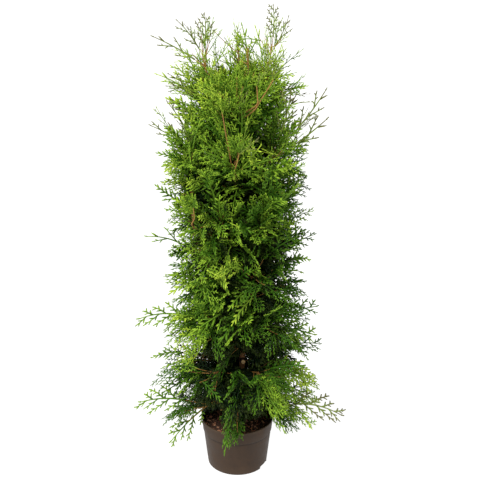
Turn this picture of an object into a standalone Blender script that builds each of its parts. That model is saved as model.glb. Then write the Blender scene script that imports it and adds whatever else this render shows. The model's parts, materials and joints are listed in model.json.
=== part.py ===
"""Potted thuja, 1.2 m tall with its pot.

A narrow, bushy evergreen: one leaning trunk with four upright leaders, boughs round its
foot, and masses of flat, toothed sprays, in a round nursery pot filled with bark compost.
Metres, +Z up.  The origin is the middle of the pot's flat underside, and -Y is the front.
Azimuths are in degrees from +X towards +Y.
"""

import math
import random

import bmesh
import bpy
from mathutils import Matrix, Vector
from mathutils.bvhtree import BVHTree

# ------------------------------------------------------------------ driving dimensions
GAP = 0.0003                    # clear space between neighbouring solids
UP = Vector((0.0, 0.0, 1.0))

POT_HEIGHT = 0.138
POT_RIM_RADIUS = 0.095
POT_BASE_RADIUS = 0.078
POT_WALL = 0.0018
POT_FLOOR = 0.0030
POT_BAND_HEIGHT = 0.034         # the thicker band under the rim
POT_BAND_STEP = 0.0018          # how far the band stands out of the wall
POT_CORNER = 0.006              # rounding between wall and underside
POT_FOOT_STEP = 0.024           # how far the thick inside corner reaches in over the floor
POT_FOOT_RISE = 0.022           # and how far it reaches up the wall
POT_STEPS = 28
NOTCH_COUNT = 2                 # notches in the foot, cut into the thick corner
NOTCH_SIZE = (0.040, 0.020, 0.022)
NOTCH_AZIMUTH = -25.0
COMPOST_TOP = 0.122

TRUNK_POINTS = (                # the trunk's axis, from just under its flat cut to its tip
    (0.000, 0.000, COMPOST_TOP - 0.004),
    (0.001, 0.000, 0.150),
    (0.013, -0.002, 0.306),
    (0.015, 0.002, 0.450),
    (0.014, 0.003, 0.643),
    (-0.003, 0.000, 0.802),
    (0.009, -0.003, 0.868),
    (0.028, 0.000, 0.965),
    (0.064, 0.002, 1.040),
    (0.075, 0.000, 1.085),
)
TRUNK_FOOT_RADIUS = 0.0085
TRUNK_TIP_RADIUS = 0.0016
ROOT_FLARE = 0.0045             # what the flare adds to the radius at the compost
ROOT_FLARE_HEIGHT = 0.012       # height over which the flare fades to a third

LEADER_RADIUS = 0.0042
LEADER_TIP_RADIUS = 0.0016
LEADER_SEAT = 0.005             # half the height of a leader's seat on the trunk
LEADER_UPRIGHT = 0.38           # share of a leader past which it stands upright
LEADERS = {                     # axes of the upright stems, each from the trunk's axis
    "side_leader": (
        (0.015, 0.001, 0.425), (-0.040, -0.022, 0.520), (-0.100, -0.040, 0.653),
        (-0.108, -0.042, 0.722), (-0.112, -0.040, 0.800),
    ),
    "left_leader": (
        (-0.003, 0.000, 0.800), (-0.027, -0.010, 0.886), (-0.036, -0.016, 0.972),
        (-0.070, -0.012, 1.065),
    ),
    "centre_leader": (
        (0.026, 0.000, 0.958), (0.028, -0.012, 1.010), (0.026, -0.020, 1.080),
    ),
    "back_leader": (
        (0.014, 0.003, 0.600), (0.020, 0.045, 0.720), (0.006, 0.066, 0.860),
        (0.004, 0.068, 1.060),
    ),
}

STUB_HEIGHT = 0.306             # the pruned stub on the trunk's front
STUB_RADIUS = 0.0062
STUB_REACH = 0.021              # from the trunk's axis to the cut face
STUB_FRONT = Vector((0.12, -1.0, 0.18)).normalized()
STUB_FACE = Vector((0.015, -0.022, 0.310))
STUB_OPEN = Vector((0.0, -0.88, 0.475))     # way in which the foliage stands open before it
STUB_GAP = 0.026                # half the width of that opening

BOUGH_RADIUS = 0.0030
BOUGH_TIP_RADIUS = 0.0020
BOUGH_DIP = 0.15                # how far a bough's middle hangs below its chord, of its length
STEM_RADIUS = 0.0019
STEM_TIP_RADIUS = 0.0014
STEM_REACH = 0.45               # where a stem's middle lies along its starting direction
STEM_BULGE = 0.12               # and how far a side stem's middle bows outwards
STEM_END_SINK = 0.004           # how deep the twig that carries a stem on is sunk in it
TWIG_ROOT = 0.00045            # half of a twig's width at its sunk root, and where it flattens
TWIG_NECK = 0.00085

# One row for each tier of foliage: name, number of masses, azimuth of the first, height at
# which it leaves its limb, (radius, height) of the bough's tip where there is a bough, and
# (radius, height) of the end of the mass's stem.
TIERS = (
    ("skirt", 5, 54.0, 0.165, (0.050, 0.187), (0.092, 0.176)),
    ("lower", 5, 18.0, 0.250, (0.048, 0.285), (0.090, 0.305)),
    ("middle", 4, 45.0, 0.352, (0.042, 0.400), (0.080, 0.438)),
    ("shoulder", 5, 10.0, 0.450, None, (0.078, 0.572)),
    ("upper", 5, 26.0, 0.572, None, (0.082, 0.715)),
    ("crown", 5, 46.0, 0.735, None, (0.088, 0.862)),
    ("top", 3, 30.0, 0.915, None, (0.080, 1.005)),
)
LEADER_TIP_STEM = 0.045         # length of the stem that carries on from a leader's tip

CROWN_PROFILE = (               # (height, radius) of the crown's outline
    (0.045, 0.155), (0.100, 0.190), (0.200, 0.215), (0.350, 0.205), (0.500, 0.187),
    (0.650, 0.190), (0.850, 0.186), (1.000, 0.190), (1.100, 0.165), (1.215, 0.105),
)
LIFT_FOOT = (0.150, -34.0)      # (height, degrees above level) of the lowest sprays
LIFT_TOP = (1.100, 64.0)        # the same for the highest ones
LIFT_BEND = 0.62                # below 1: the sprays turn upwards early
LIFT_SPREAD = (40.0, 30.0)      # how far a twig may lift or droop from that: foot, top

FURTHEST_TIPS = (               # (azimuth, radius, height) of the shoots that stand out
    (0.0, 0.092, 1.219), (188.0, 0.128, 1.194), (200.0, 0.066, 1.201),
    (14.0, 0.134, 1.183), (178.0, 0.189, 1.155), (8.0, 0.229, 1.004),
    (-12.0, 0.226, 0.948), (184.0, 0.196, 0.948), (176.0, 0.221, 0.659),
    (188.0, 0.247, 0.456), (-9.0, 0.209, 0.459), (12.0, 0.220, 0.333),
    (194.0, 0.262, 0.205), (-6.0, 0.276, 0.163), (187.0, 0.175, 0.062),
    (260.0, 0.124, 0.118), (-12.0, 0.162, 0.114), (95.0, 0.215, 0.420),
    (80.0, 0.205, 0.110), (100.0, 0.185, 0.980),
)

TWIGS_PER_MASS = 6
TWIG_LENGTH = (0.018, 0.036)
LARGE_SPRAY = (0.125, 0.165)
SIDE_TWIG_LENGTH = (0.010, 0.020)
SMALL_SPRAY = (0.085, 0.115)
SHOOT_SPRAY = 0.112             # length of the spray at a furthest tip
SHOOT_SPRAY_MOST = 0.86         # and the most of its whole shoot that it takes
SHOOT_ROLLS = (12.0, -28.0, 48.0, -64.0, 84.0)
SPRAY_WIDTH = 0.64              # of its length, tooth tip to tooth tip
SPRAY_CREST = 0.00110           # half of its thickness along the middle
TOOTH_START = 0.40              # where the first teeth end, of the spray's length
TOOTH_RUN = 0.62                # the length over which the teeth's ends are spaced
SWELL_START = 0.27              # the blade's outline is this stretch of half a sine wave
SWELL_RUN = 0.62
RIDGE_RUN = 0.80                # the length over which its ridge points are spaced
END_CREST = 0.75                # crest at the first and last of those, of the full crest
DIP_PAST_RIDGE = 0.02           # how far past a ridge point the outline dips
DIP_WIDTH = 0.20                # width left at a dip, of the full width
SPRAY_SAG = (0.22, 0.02)        # droop of a spray's tip, of its length: at the foot, at the top
FAN = 58.0                      # most that a twig turns aside of its mass's azimuth
TIP_FAN = 150.0                 # the same for the masses on the leaders' tips
FACE_OUT_SHARE = 0.58           # share of sprays whose flat side faces outwards, not sideways
FACE_UP = 0.55                  # and upwards by this much
ROLL_SPREAD = 34.0              # degrees by which it is rolled from that, more or less
EDGE_ON = 0.25                  # below this a spray points the way that it would face
CLEARANCE = 0.0007              # round each spray, to all that it isn't fused to
ROOM_MARGIN = 0.020             # how far a spray may lean into its neighbour's room
TRIES = 26
FLOOR_MARGIN = 0.100            # no spray hangs lower than this
FRONT_CLEAR = 0.115             # how much higher the skirt stays where compost shows
HANGING_AZIMUTH = 264.0         # between those gaps one part of it hangs down at the front
FRONT_GAPS = ((8.0, 0.3), (20.0, 1.0), (55.0, 0.9), (95.0, 0.0))   # (degrees aside, share)
SEED = 972

# ------------------------------------------------------------------ scene and materials


def clear_scene():
    for obj in list(bpy.data.objects):
        bpy.data.objects.remove(obj)


def collection(name):
    new = bpy.data.collections.new(name)
    bpy.context.scene.collection.children.link(new)
    return new


def material(name, colour, roughness):
    mat = bpy.data.materials.new(name)
    mat.use_nodes = True
    shader = mat.node_tree.nodes["Principled BSDF"]
    shader.inputs["Base Color"].default_value = (*colour, 1.0)
    shader.inputs["Roughness"].default_value = roughness
    shader.inputs["Metallic"].default_value = 0.0
    return mat


def add_object(name, mesh, mat, where):
    obj = bpy.data.objects.new(name, mesh)
    mesh.materials.clear()
    mesh.materials.append(mat)
    where.objects.link(obj)
    return obj


def evaluated_mesh(obj):
    graph = bpy.context.evaluated_depsgraph_get()
    return bpy.data.meshes.new_from_object(obj.evaluated_get(graph))


# ------------------------------------------------------------------ small geometry helpers


def polar(azimuth, radius, height):
    angle = math.radians(azimuth)
    return Vector((radius * math.cos(angle), radius * math.sin(angle), height))


def heading(azimuth, lift):
    """Unit vector at an azimuth, lifted above level, both in degrees."""
    flat = math.cos(math.radians(lift))
    return polar(azimuth, flat, math.sin(math.radians(lift)))


def azimuth_of(vector):
    return math.degrees(math.atan2(vector.y, vector.x))


def between(table, x):
    """Piecewise linear value at x of a table of (x, value) pairs."""
    if x <= table[0][0]:
        return table[0][1]
    for (x0, y0), (x1, y1) in zip(table, table[1:]):
        if x <= x1:
            return y0 + (y1 - y0) * (x - x0) / (x1 - x0)
    return table[-1][1]


def foot_to_top(height):
    """0 at the lowest sprays, 1 at the highest."""
    share = (height - LIFT_FOOT[0]) / (LIFT_TOP[0] - LIFT_FOOT[0])
    return min(max(share, 0.0), 1.0)


def lift_at(height):
    """Degrees above level at which sprays grow at this height."""
    return LIFT_FOOT[1] + (LIFT_TOP[1] - LIFT_FOOT[1]) * foot_to_top(height) ** LIFT_BEND


def by_height(foot, top, height):
    """A value that goes evenly from the lowest sprays to the highest."""
    return foot + (top - foot) * foot_to_top(height)


def spline(points, steps):
    """Catmull-Rom curve through the points, with a number of steps in each span."""
    points = [Vector(p) for p in points]
    ends = [2 * points[0] - points[1]] + points + [2 * points[-1] - points[-2]]
    path = []
    for a, b, c, d in zip(ends, ends[1:], ends[2:], ends[3:]):
        for i in range(steps):
            t = i / steps
            path.append(0.5 * (2 * b + (c - a) * t + (2 * a - 5 * b + 4 * c - d) * t * t
                               + (3 * b - a - 3 * c + d) * t ** 3))
    return path + [points[-1]]


def bend(start, middle, end, steps):
    """Quadratic curve from start to end that leaves towards the middle point."""
    shares = [i / steps for i in range(steps + 1)]
    return [start * (1 - t) ** 2 + middle * 2 * t * (1 - t) + end * t * t for t in shares]


def at_share(path, share):
    """Point and direction at a share of the way along a path of even steps."""
    place = min(max(share, 0.0), 1.0) * (len(path) - 1)
    i = min(int(place), len(path) - 2)
    return path[i].lerp(path[i + 1], place - i), (path[i + 1] - path[i]).normalized()


def at_height(path, height):
    """Share of a rising path at which it reaches a height, or None past its ends."""
    if not path[0].z <= height <= path[-1].z:
        return None
    for i, (a, b) in enumerate(zip(path, path[1:])):
        if a.z <= height <= b.z:
            return (i + (height - a.z) / (b.z - a.z)) / (len(path) - 1)
    return None


# ------------------------------------------------------------------ limbs


def tube_mesh(path, radii, bevel_resolution):
    """Tapering tube on a path, as a closed mesh."""
    curve = bpy.data.curves.new("limb", "CURVE")
    curve.dimensions = "3D"
    curve.bevel_depth = 1.0
    curve.bevel_resolution = bevel_resolution
    curve.use_fill_caps = True
    line = curve.splines.new("POLY")
    line.points.add(len(path) - 1)
    for point, place, radius in zip(line.points, path, radii):
        point.co = (*place, 1.0)
        point.radius = radius
    obj = bpy.data.objects.new("limb", curve)
    bpy.context.scene.collection.objects.link(obj)
    mesh = evaluated_mesh(obj)
    bpy.data.objects.remove(obj)
    bpy.data.curves.remove(curve)
    bm = bmesh.new()
    bm.from_mesh(mesh)
    bmesh.ops.remove_doubles(bm, verts=bm.verts, dist=0.00001)
    bmesh.ops.recalc_face_normals(bm, faces=bm.faces)
    bm.to_mesh(mesh)
    bm.free()
    return mesh


def cut_flat(mesh, place, normal):
    """Cut away what lies behind a plane and close the cut with a flat face."""
    bm = bmesh.new()
    bm.from_mesh(mesh)
    everything = bm.verts[:] + bm.edges[:] + bm.faces[:]
    cut = bmesh.ops.bisect_plane(bm, geom=everything, dist=0.00001, plane_co=place,
                                 plane_no=normal, clear_inner=True)
    rim = [e for e in cut["geom_cut"] if isinstance(e, bmesh.types.BMEdge)]
    bmesh.ops.edgeloop_fill(bm, edges=rim)
    bmesh.ops.recalc_face_normals(bm, faces=bm.faces)
    bm.to_mesh(mesh)
    bm.free()


def taper(root, tip, count):
    return [root + (tip - root) * i / (count - 1) for i in range(count)]


def seat(limb, share, outward, spread):
    """Plane just clear of a limb's faceted side, on which another limb's root is cut.  The
    root spreads this far up and down the limb."""
    place, direction = at_share(limb["path"], share)
    normal = (outward - outward.dot(direction) * direction).normalized()
    tree = Shape.of_mesh(limb["mesh"]).tree
    side = 0.0
    for along in (-spread, 0.0, spread):
        for turn in range(-60, 61, 4):
            ray = Matrix.Rotation(math.radians(turn), 3, direction) @ normal
            hit = tree.ray_cast(place + direction * along, ray)[0]
            side = max(side, (hit - place).dot(normal))
    return place + normal * (side + GAP), normal


def make_trunk():
    path = spline(TRUNK_POINTS, 2)
    bottom, top = path[0].z, path[-1].z
    radii = []
    for point in path:
        share = (point.z - bottom) / (top - bottom)
        flare = ROOT_FLARE * math.exp(-(point.z - bottom) / ROOT_FLARE_HEIGHT)
        radii.append(TRUNK_TIP_RADIUS + (TRUNK_FOOT_RADIUS - TRUNK_TIP_RADIUS) * (1 - share) + flare)
    mesh = tube_mesh(path, radii, 2)
    cut_flat(mesh, UP * (COMPOST_TOP + GAP), UP)
    return {"name": "trunk", "path": path, "radii": radii, "mesh": mesh}


def make_leader(name, points, trunk):
    path = spline(points, 3)
    radii = taper(LEADER_RADIUS, LEADER_TIP_RADIUS, len(path))
    mesh = tube_mesh(path, radii, 1)
    outward = (path[3] - path[0])
    cut_flat(mesh, *seat(trunk, at_height(trunk["path"], path[0].z), outward, LEADER_SEAT))
    return {"name": name, "path": path, "radii": radii, "mesh": mesh}


def make_stub(trunk):
    share = at_height(trunk["path"], STUB_HEIGHT)
    start, _ = at_share(trunk["path"], share)
    path = [start, start + STUB_FRONT * STUB_REACH]
    radii = [STUB_RADIUS * 1.1, STUB_RADIUS]
    mesh = tube_mesh(path, radii, 3)
    cut_flat(mesh, *seat(trunk, share, STUB_FRONT, STUB_RADIUS))
    return {"name": "pruned_stub", "path": path, "radii": radii, "mesh": mesh}


def make_bough(name, azimuth, root_height, tip, trunk):
    share = at_height(trunk["path"], root_height)
    start, _ = at_share(trunk["path"], share)
    end = polar(azimuth, tip[0], tip[1])
    middle = start.lerp(end, 0.5) - UP * BOUGH_DIP * (end - start).length
    path = bend(start, middle, end, 4)
    radii = taper(BOUGH_RADIUS, BOUGH_TIP_RADIUS, len(path))
    mesh = tube_mesh(path, radii, 1)
    cut_flat(mesh, *seat(trunk, share, end - start, BOUGH_RADIUS))
    return {"name": name, "path": path, "radii": radii, "mesh": mesh}


# ------------------------------------------------------------------ stems of the masses


def stem_on_tip(limb, end):
    """A stem that carries on from a limb's tip, with its root cut flat just clear of it."""
    tip, direction = at_share(limb["path"], 1.0)
    start = tip - direction * STEM_RADIUS
    middle = start + direction * STEM_REACH * (end - start).length
    path = bend(start, middle, end, 3)
    mesh = tube_mesh(path, taper(STEM_RADIUS, STEM_TIP_RADIUS, len(path)), 0)
    cut_flat(mesh, tip + direction * GAP, direction)
    return path, mesh


def stem_on_side(limb, root_height, end):
    """A stem that leaves a limb's side, with its root cut flat just clear of it."""
    share = at_height(limb["path"], root_height)
    start, _ = at_share(limb["path"], share)
    outward = end - start
    middle = start.lerp(end, 0.5) + Vector((outward.x, outward.y, 0.0)) * STEM_BULGE
    path = bend(start, middle, end, 4)
    mesh = tube_mesh(path, taper(STEM_RADIUS, STEM_TIP_RADIUS, len(path)), 0)
    flat = Vector((outward.x, outward.y, 0.0))
    cut_flat(mesh, *seat(limb, share, flat, STEM_RADIUS))
    return path, mesh


def nearest_limb(limbs, root_height, end):
    """The limb that passes nearest under the end of a stem, at the stem's root height."""
    found = []
    for limb in limbs:
        share = at_height(limb["path"], root_height)
        leans = limb["name"] != "trunk" and share is not None and share < LEADER_UPRIGHT
        if share is None or leans:
            continue
        place, _ = at_share(limb["path"], share)
        found.append(((place - end).length, limb["name"], limb))
    return min(found)[2]


def make_masses(trunk, leaders):
    """Boughs and the stem of every mass, tier by tier, then those on the leaders' tips."""
    limbs = [trunk] + leaders
    boughs = []
    masses = []
    for tier, count, first, root_height, bough_tip, goal in TIERS:
        for i in range(count):
            azimuth = first + 360.0 * i / count
            end = polar(azimuth, *goal)
            label = f"{tier}_{i + 1}"
            if bough_tip:
                bough = make_bough(f"bough_{label}", azimuth, root_height, bough_tip, trunk)
                boughs.append(bough)
                path, mesh = stem_on_tip(bough, end)
            else:
                limb = nearest_limb(limbs, root_height, end)
                path, mesh = stem_on_side(limb, root_height, end)
            masses.append({"name": f"foliage_{label}", "azimuth": azimuth, "fan": FAN,
                           "path": path, "stem": mesh, "sprays": []})
    for limb in limbs:
        tip, direction = at_share(limb["path"], 1.0)
        end = tip + (direction + 0.6 * UP).normalized() * LEADER_TIP_STEM
        path, mesh = stem_on_tip(limb, end)
        azimuth = azimuth_of(tip) + (90.0 if limb["name"] == "centre_leader" else 0.0)
        masses.append({"name": f"foliage_{limb['name']}_tip", "azimuth": azimuth, "fan": TIP_FAN,
                       "path": path, "stem": mesh, "sprays": []})
    return boughs, masses


# ------------------------------------------------------------------ sprays


def spray_bmesh(twig, length, width, teeth, swell):
    """A twig along +X that flattens into a spray: a thin, lens-like blade whose outline is
    cut into teeth that sweep forward, some on each side and one at the end."""
    half = width / 2
    shares = [j / teeth for j in range(teeth)]
    ridges = [twig + length * RIDGE_RUN * share for share in shares]
    crests = [SPRAY_CREST * (1.0 if 0 < j < teeth - 1 else END_CREST) + swell for j in range(teeth)]
    out_at = [(TOOTH_START + TOOTH_RUN * share, math.sin(math.pi * (SWELL_START + SWELL_RUN * share)))
              for share in shares]
    dips_at = [(twig, TWIG_NECK)]
    dips_at += [(ridge + DIP_PAST_RIDGE * length, DIP_WIDTH * half) for ridge in ridges[1:]]
    bm = bmesh.new()
    tip = bm.verts.new((twig + length + swell, 0.0, 0.0))
    root = [bm.verts.new((0.0, y, z)) for y, z in
            ((0.0, TWIG_ROOT + swell), (TWIG_ROOT + swell, 0.0),
             (0.0, -TWIG_ROOT - swell), (-TWIG_ROOT - swell, 0.0))]
    tops = [bm.verts.new((x, 0.0, h)) for x, h in zip(ridges, crests)]
    bottoms = [bm.verts.new((x, 0.0, -h)) for x, h in zip(ridges, crests)]
    necks = []
    for side in (1, -1):
        out = [bm.verts.new((twig + x * length, side * (y * half + swell), 0.0))
               for x, y in out_at]
        dips = [bm.verts.new((x, side * (y + swell), 0.0)) for x, y in dips_at]
        necks.append(dips[0])
        for ridge in (tops, bottoms):
            for j in range(teeth):
                after = dips[j + 1] if j + 1 < teeth else tip
                bm.faces.new((ridge[j], dips[j], out[j]))
                bm.faces.new((ridge[j], out[j], after))
                if after is not tip:
                    bm.faces.new((ridge[j], after, ridge[j + 1]))
    neck = [tops[0], necks[0], bottoms[0], necks[1]]
    for i in range(4):
        bm.faces.new((root[i - 1], root[i], neck[i], neck[i - 1]))
    bm.faces.new(root)
    return bm


def flat_side(tip, direction, face, roll):
    """Unit vector across a spray whose flat side faces so far aside of outwards."""
    side = direction.cross(polar(azimuth_of(tip) + face, 1.0, FACE_UP))
    side = side.normalized() if side.length > EDGE_ON else direction.cross(UP).normalized()
    side.rotate(Matrix.Rotation(math.radians(roll), 3, direction))
    return side


def lay_spray(bm, root, direction, side, twig, length, sag):
    """Turn a spray to its direction and its flat side, and let its tip sag."""
    turn = Matrix((direction, side, direction.cross(side))).transposed()
    for vert in bm.verts:
        along = max(vert.co.x - twig, 0.0) / length
        vert.co = root + turn @ vert.co - UP * sag * length * along * along
    bmesh.ops.recalc_face_normals(bm, faces=bm.faces)
    return bm


def as_mesh(bm):
    mesh = bpy.data.meshes.new("shape")
    bm.to_mesh(mesh)
    return mesh


class Shape:
    """A search tree of a shape's faces with its box, to tell quickly whether two meet."""

    def __init__(self, tree, points):
        self.tree = tree
        self.low = Vector([min(p[i] for p in points) for i in range(3)])
        self.high = Vector([max(p[i] for p in points) for i in range(3)])

    @classmethod
    def of_bmesh(cls, bm):
        return cls(BVHTree.FromBMesh(bm), [v.co for v in bm.verts])

    @classmethod
    def of_mesh(cls, mesh):
        bm = bmesh.new()
        bm.from_mesh(mesh)
        shape = cls.of_bmesh(bm)
        bm.free()
        return shape

    def meets(self, other):
        for i in range(3):
            if self.low[i] > other.high[i] or other.low[i] > self.high[i]:
                return False
        return bool(self.tree.overlap(other.tree))


class Crown:
    """What already stands in the crown, and the room that each mass keeps to."""

    def __init__(self, solids, masses):
        self.solids = [Shape.of_mesh(mesh) for mesh in solids]
        self.stems = {mass["name"]: Shape.of_mesh(mass["stem"]) for mass in masses}
        self.samples = []
        for mass in masses:
            for share in (0.15, 0.4, 0.7, 1.0):
                place, _ = at_share(mass["path"], share)
                self.samples.append((place, mass["name"]))
        self.grown = []

    def own_room(self, name, place):
        """True where a point lies nearer to this mass's stem than to any other, or nearly."""
        nearest = {True: math.inf, False: math.inf}
        for sample, owner in self.samples:
            own = owner == name
            nearest[own] = min(nearest[own], (place - sample).length)
        return nearest[True] < nearest[False] + ROOM_MARGIN

    def inside_outline(self, place):
        flat = math.hypot(place.x, place.y)
        aside = abs((azimuth_of(place) - HANGING_AZIMUTH) % 360.0 - 180.0)
        lowest = FLOOR_MARGIN + FRONT_CLEAR * between(FRONT_GAPS, 180.0 - aside)
        if not lowest < place.z < CROWN_PROFILE[-1][0]:
            return False
        return flat < between(CROWN_PROFILE, place.z)

    def open_before_stub(self, place):
        """True where a point doesn't cover the hollow in front of the pruned stub."""
        away = place - STUB_FACE
        along = max(away.dot(STUB_OPEN), 0.0)
        return (away - STUB_OPEN * along).length > STUB_GAP

    def clear(self, shape, mass, fused_to):
        for name, stem in self.stems.items():
            if name != mass["name"] and shape.meets(stem):
                return False
        if "stem" not in fused_to and shape.meets(self.stems[mass["name"]]):
            return False
        if any(shape.meets(solid) for solid in self.solids):
            return False
        return not any(shape.meets(other) for key, other in self.grown if key not in fused_to)


# ------------------------------------------------------------------ growth


def fit_spray(crown, mass, root, direction, side, twig, length, teeth, fused_to, free=False):
    """Add a spray on its twig to a mass if it keeps to the mass's room and touches nothing
    but what it is fused to.  Gives the spray's key, or None."""
    width = SPRAY_WIDTH * length
    sag = by_height(*SPRAY_SAG, root.z)
    test = spray_bmesh(twig, length, width, teeth, CLEARANCE)
    lay_spray(test, root, direction, side, twig, length, sag)
    shape = Shape.of_bmesh(test)
    corners = [v.co.copy() for v in test.verts if (v.co - root).length > twig]
    test.free()
    if not free:
        if not all(crown.inside_outline(p) for p in corners):
            return None
        if not all(crown.own_room(mass["name"], p) for p in corners):
            return None
        if not all(crown.open_before_stub(p) for p in corners):
            return None
    if not crown.clear(shape, mass, fused_to):
        return None
    bm = spray_bmesh(twig, length, width, teeth, 0.0)
    lay_spray(bm, root, direction, side, twig, length, sag)
    key = f"{mass['name']} spray {len(mass['sprays'])}"
    crown.grown.append((key, shape))
    mass["sprays"].append(as_mesh(bm))
    bm.free()
    return key


def grow_shoot(crown, masses, tip):
    """A long shoot from a stem near by out to one of the crown's furthest tips."""
    target = polar(*tip)
    starts = []
    for mass in masses:
        for share in (0.35, 0.55, 0.75, 0.93):
            place, _ = at_share(mass["path"], share)
            away = target - place
            turned = abs(math.degrees(math.asin(away.normalized().z)) - lift_at(place.z))
            starts.append((away.length + turned / 400.0, mass["name"], share, mass, place))
    for _, _, _, mass, place in sorted(starts, key=lambda s: s[:3])[:30]:
        aim = target + UP * by_height(*SPRAY_SAG, place.z) * SHOOT_SPRAY
        away = aim - place
        length = min(SHOOT_SPRAY, away.length * SHOOT_SPRAY_MOST)
        away.normalize()
        for roll in SHOOT_ROLLS:
            side = flat_side(target, away, -90.0 - azimuth_of(target), roll)
            if fit_spray(crown, mass, place, away, side, (aim - place).length - length,
                         length, 3, ("stem",), free=True):
                return True
    return False


def try_sprays(crown, mass, rng, place, azimuth, lift, twigs, lengths, teeth, fused_to):
    """One spray on its twig, tried at several turns, rolls and lengths.  Gives its key with
    the run of its twig, or None."""
    for attempt in range(TRIES):
        shrink = 1.0 - 0.56 * attempt / TRIES
        length = rng.uniform(*lengths) * shrink
        twig = rng.uniform(*twigs)
        direction = heading(azimuth + rng.uniform(-16.0, 16.0), lift + rng.uniform(-14.0, 14.0))
        face = 0.0 if rng.random() < FACE_OUT_SHARE else rng.choice((-90.0, 90.0))
        side = flat_side(place + direction * length, direction, face, rng.uniform(-1.0, 1.0) * ROLL_SPREAD)
        key = fit_spray(crown, mass, place, direction, side, twig, length, teeth, fused_to)
        if key:
            return key, direction * twig
    return None


def grow_twig(crown, mass, rng, number):
    """A twig on a mass's stem that ends in a large spray and bears a small one.  The first
    carries the stem on, and the others leave its sides by turns."""
    for attempt in range(TRIES):
        if number == 0:
            last_step = (mass["path"][-1] - mass["path"][-2]).length
            share = 1.0 - STEM_END_SINK / last_step / (len(mass["path"]) - 1)
            aside = 0.0
        else:
            share = 0.30 + 0.62 * ((number * 0.37 + 0.11 * attempt) % 1.0)
            aside = (1 if (number + attempt) % 2 else -1) * rng.uniform(0.35, 1.0) * mass["fan"]
        place, _ = at_share(mass["path"], share)
        azimuth = mass["azimuth"] + aside
        lift = lift_at(place.z) + rng.uniform(-1.0, 0.8) * by_height(*LIFT_SPREAD, place.z)
        large = try_sprays(crown, mass, rng, place, azimuth, lift, TWIG_LENGTH, LARGE_SPRAY, 3,
                           ("stem",))
        if large:
            if number:
                return
            key, run = large
            turn = rng.choice((-44.0, 44.0))
            for side in (turn, -turn):
                if try_sprays(crown, mass, rng, place + run * 0.72, azimuth + side, lift,
                              SIDE_TWIG_LENGTH, SMALL_SPRAY, 2, (key,)):
                    break
            return


def grow_masses(solids, masses):
    crown = Crown(solids, masses)
    for tip in FURTHEST_TIPS:
        if not grow_shoot(crown, masses, tip):
            print("no room for the shoot at", tip)
    for number in range(TWIGS_PER_MASS):
        for mass in masses:
            grow_twig(crown, mass, random.Random(f"{SEED} {mass['name']} {number}"), number)


def fuse_mass(mass, mat, parts):
    """Join a mass's stem, twigs and sprays into one solid."""
    pieces = collection("pieces")
    for mesh in mass["sprays"]:
        pieces.objects.link(bpy.data.objects.new("piece", mesh))
    obj = add_object(mass["name"], mass["stem"], mat, parts)
    union = obj.modifiers.new("union", "BOOLEAN")
    union.operation = "UNION"
    union.operand_type = "COLLECTION"
    union.collection = pieces
    mesh = evaluated_mesh(obj)
    obj.modifiers.clear()
    obj.data = mesh
    mesh.materials.clear()
    mesh.materials.append(mat)
    for piece in list(pieces.objects):
        bpy.data.objects.remove(piece)
    bpy.data.collections.remove(pieces)
    return obj


# ------------------------------------------------------------------ pot and compost


def wall_radius(height):
    """Outer radius of the pot's tapering wall, without its band."""
    top = POT_RIM_RADIUS - POT_BAND_STEP
    return POT_BASE_RADIUS + (top - POT_BASE_RADIUS) * height / POT_HEIGHT


def turned(name, profile, mat, parts):
    """A solid turned about Z from a profile of (radius, height) points."""
    mesh = bpy.data.meshes.new(name)
    edges = [(i, i + 1) for i in range(len(profile) - 1)]
    mesh.from_pydata([(r, 0.0, z) for r, z in profile], edges, [])
    obj = add_object(name, mesh, mat, parts)
    screw = obj.modifiers.new("turn", "SCREW")
    screw.steps = POT_STEPS
    screw.render_steps = POT_STEPS
    screw.use_merge_vertices = True
    screw.merge_threshold = 0.0001
    screw.use_smooth_shade = True
    return obj


def make_pot(mat, parts, cutters):
    band = POT_HEIGHT - POT_BAND_HEIGHT
    top = wall_radius(POT_HEIGHT)
    profile = [
        (0.0, POT_FLOOR),
        (POT_BASE_RADIUS - POT_FOOT_STEP, POT_FLOOR),
        (wall_radius(POT_FOOT_RISE) - POT_WALL, POT_FOOT_RISE),
        (top - POT_WALL, POT_HEIGHT),
        (top + POT_BAND_STEP, POT_HEIGHT),
        (wall_radius(band) + POT_BAND_STEP, band),
        (wall_radius(band), band - POT_BAND_STEP),
        (wall_radius(POT_CORNER), POT_CORNER),
        (wall_radius(0.0) - POT_CORNER * 0.35, POT_CORNER * 0.3),
        (wall_radius(0.0) - POT_CORNER, 0.0),
        (0.0, 0.0),
    ]
    pot = turned("pot", profile, mat, parts)
    for i in range(NOTCH_COUNT):
        mesh = bpy.data.meshes.new("notch")
        bm = bmesh.new()
        bmesh.ops.create_cube(bm, size=1.0)
        bmesh.ops.scale(bm, vec=NOTCH_SIZE, verts=bm.verts)
        bm.to_mesh(mesh)
        bm.free()
        notch = bpy.data.objects.new(f"notch_{i + 1}", mesh)
        azimuth = NOTCH_AZIMUTH + 360.0 * i / NOTCH_COUNT
        notch.location = polar(azimuth, POT_BASE_RADIUS, 0.0)
        notch.rotation_euler.z = math.radians(azimuth + 90.0)
        notch.hide_render = True
        notch.display_type = "WIRE"
        cutters.objects.link(notch)
        cut = pot.modifiers.new("notch", "BOOLEAN")
        cut.object = notch
        cut.operation = "DIFFERENCE"
    return pot


def make_compost(mat, parts):
    inner = lambda z: wall_radius(z) - POT_WALL - 3 * GAP
    bottom = POT_FLOOR + GAP
    profile = [
        (0.0, COMPOST_TOP),
        (inner(COMPOST_TOP), COMPOST_TOP),
        (inner(POT_FOOT_RISE), POT_FOOT_RISE + GAP),
        (POT_BASE_RADIUS - POT_FOOT_STEP - 3 * GAP, bottom),
        (0.0, bottom),
    ]
    return turned("compost", profile, mat, parts)


# ------------------------------------------------------------------ the whole plant


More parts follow.
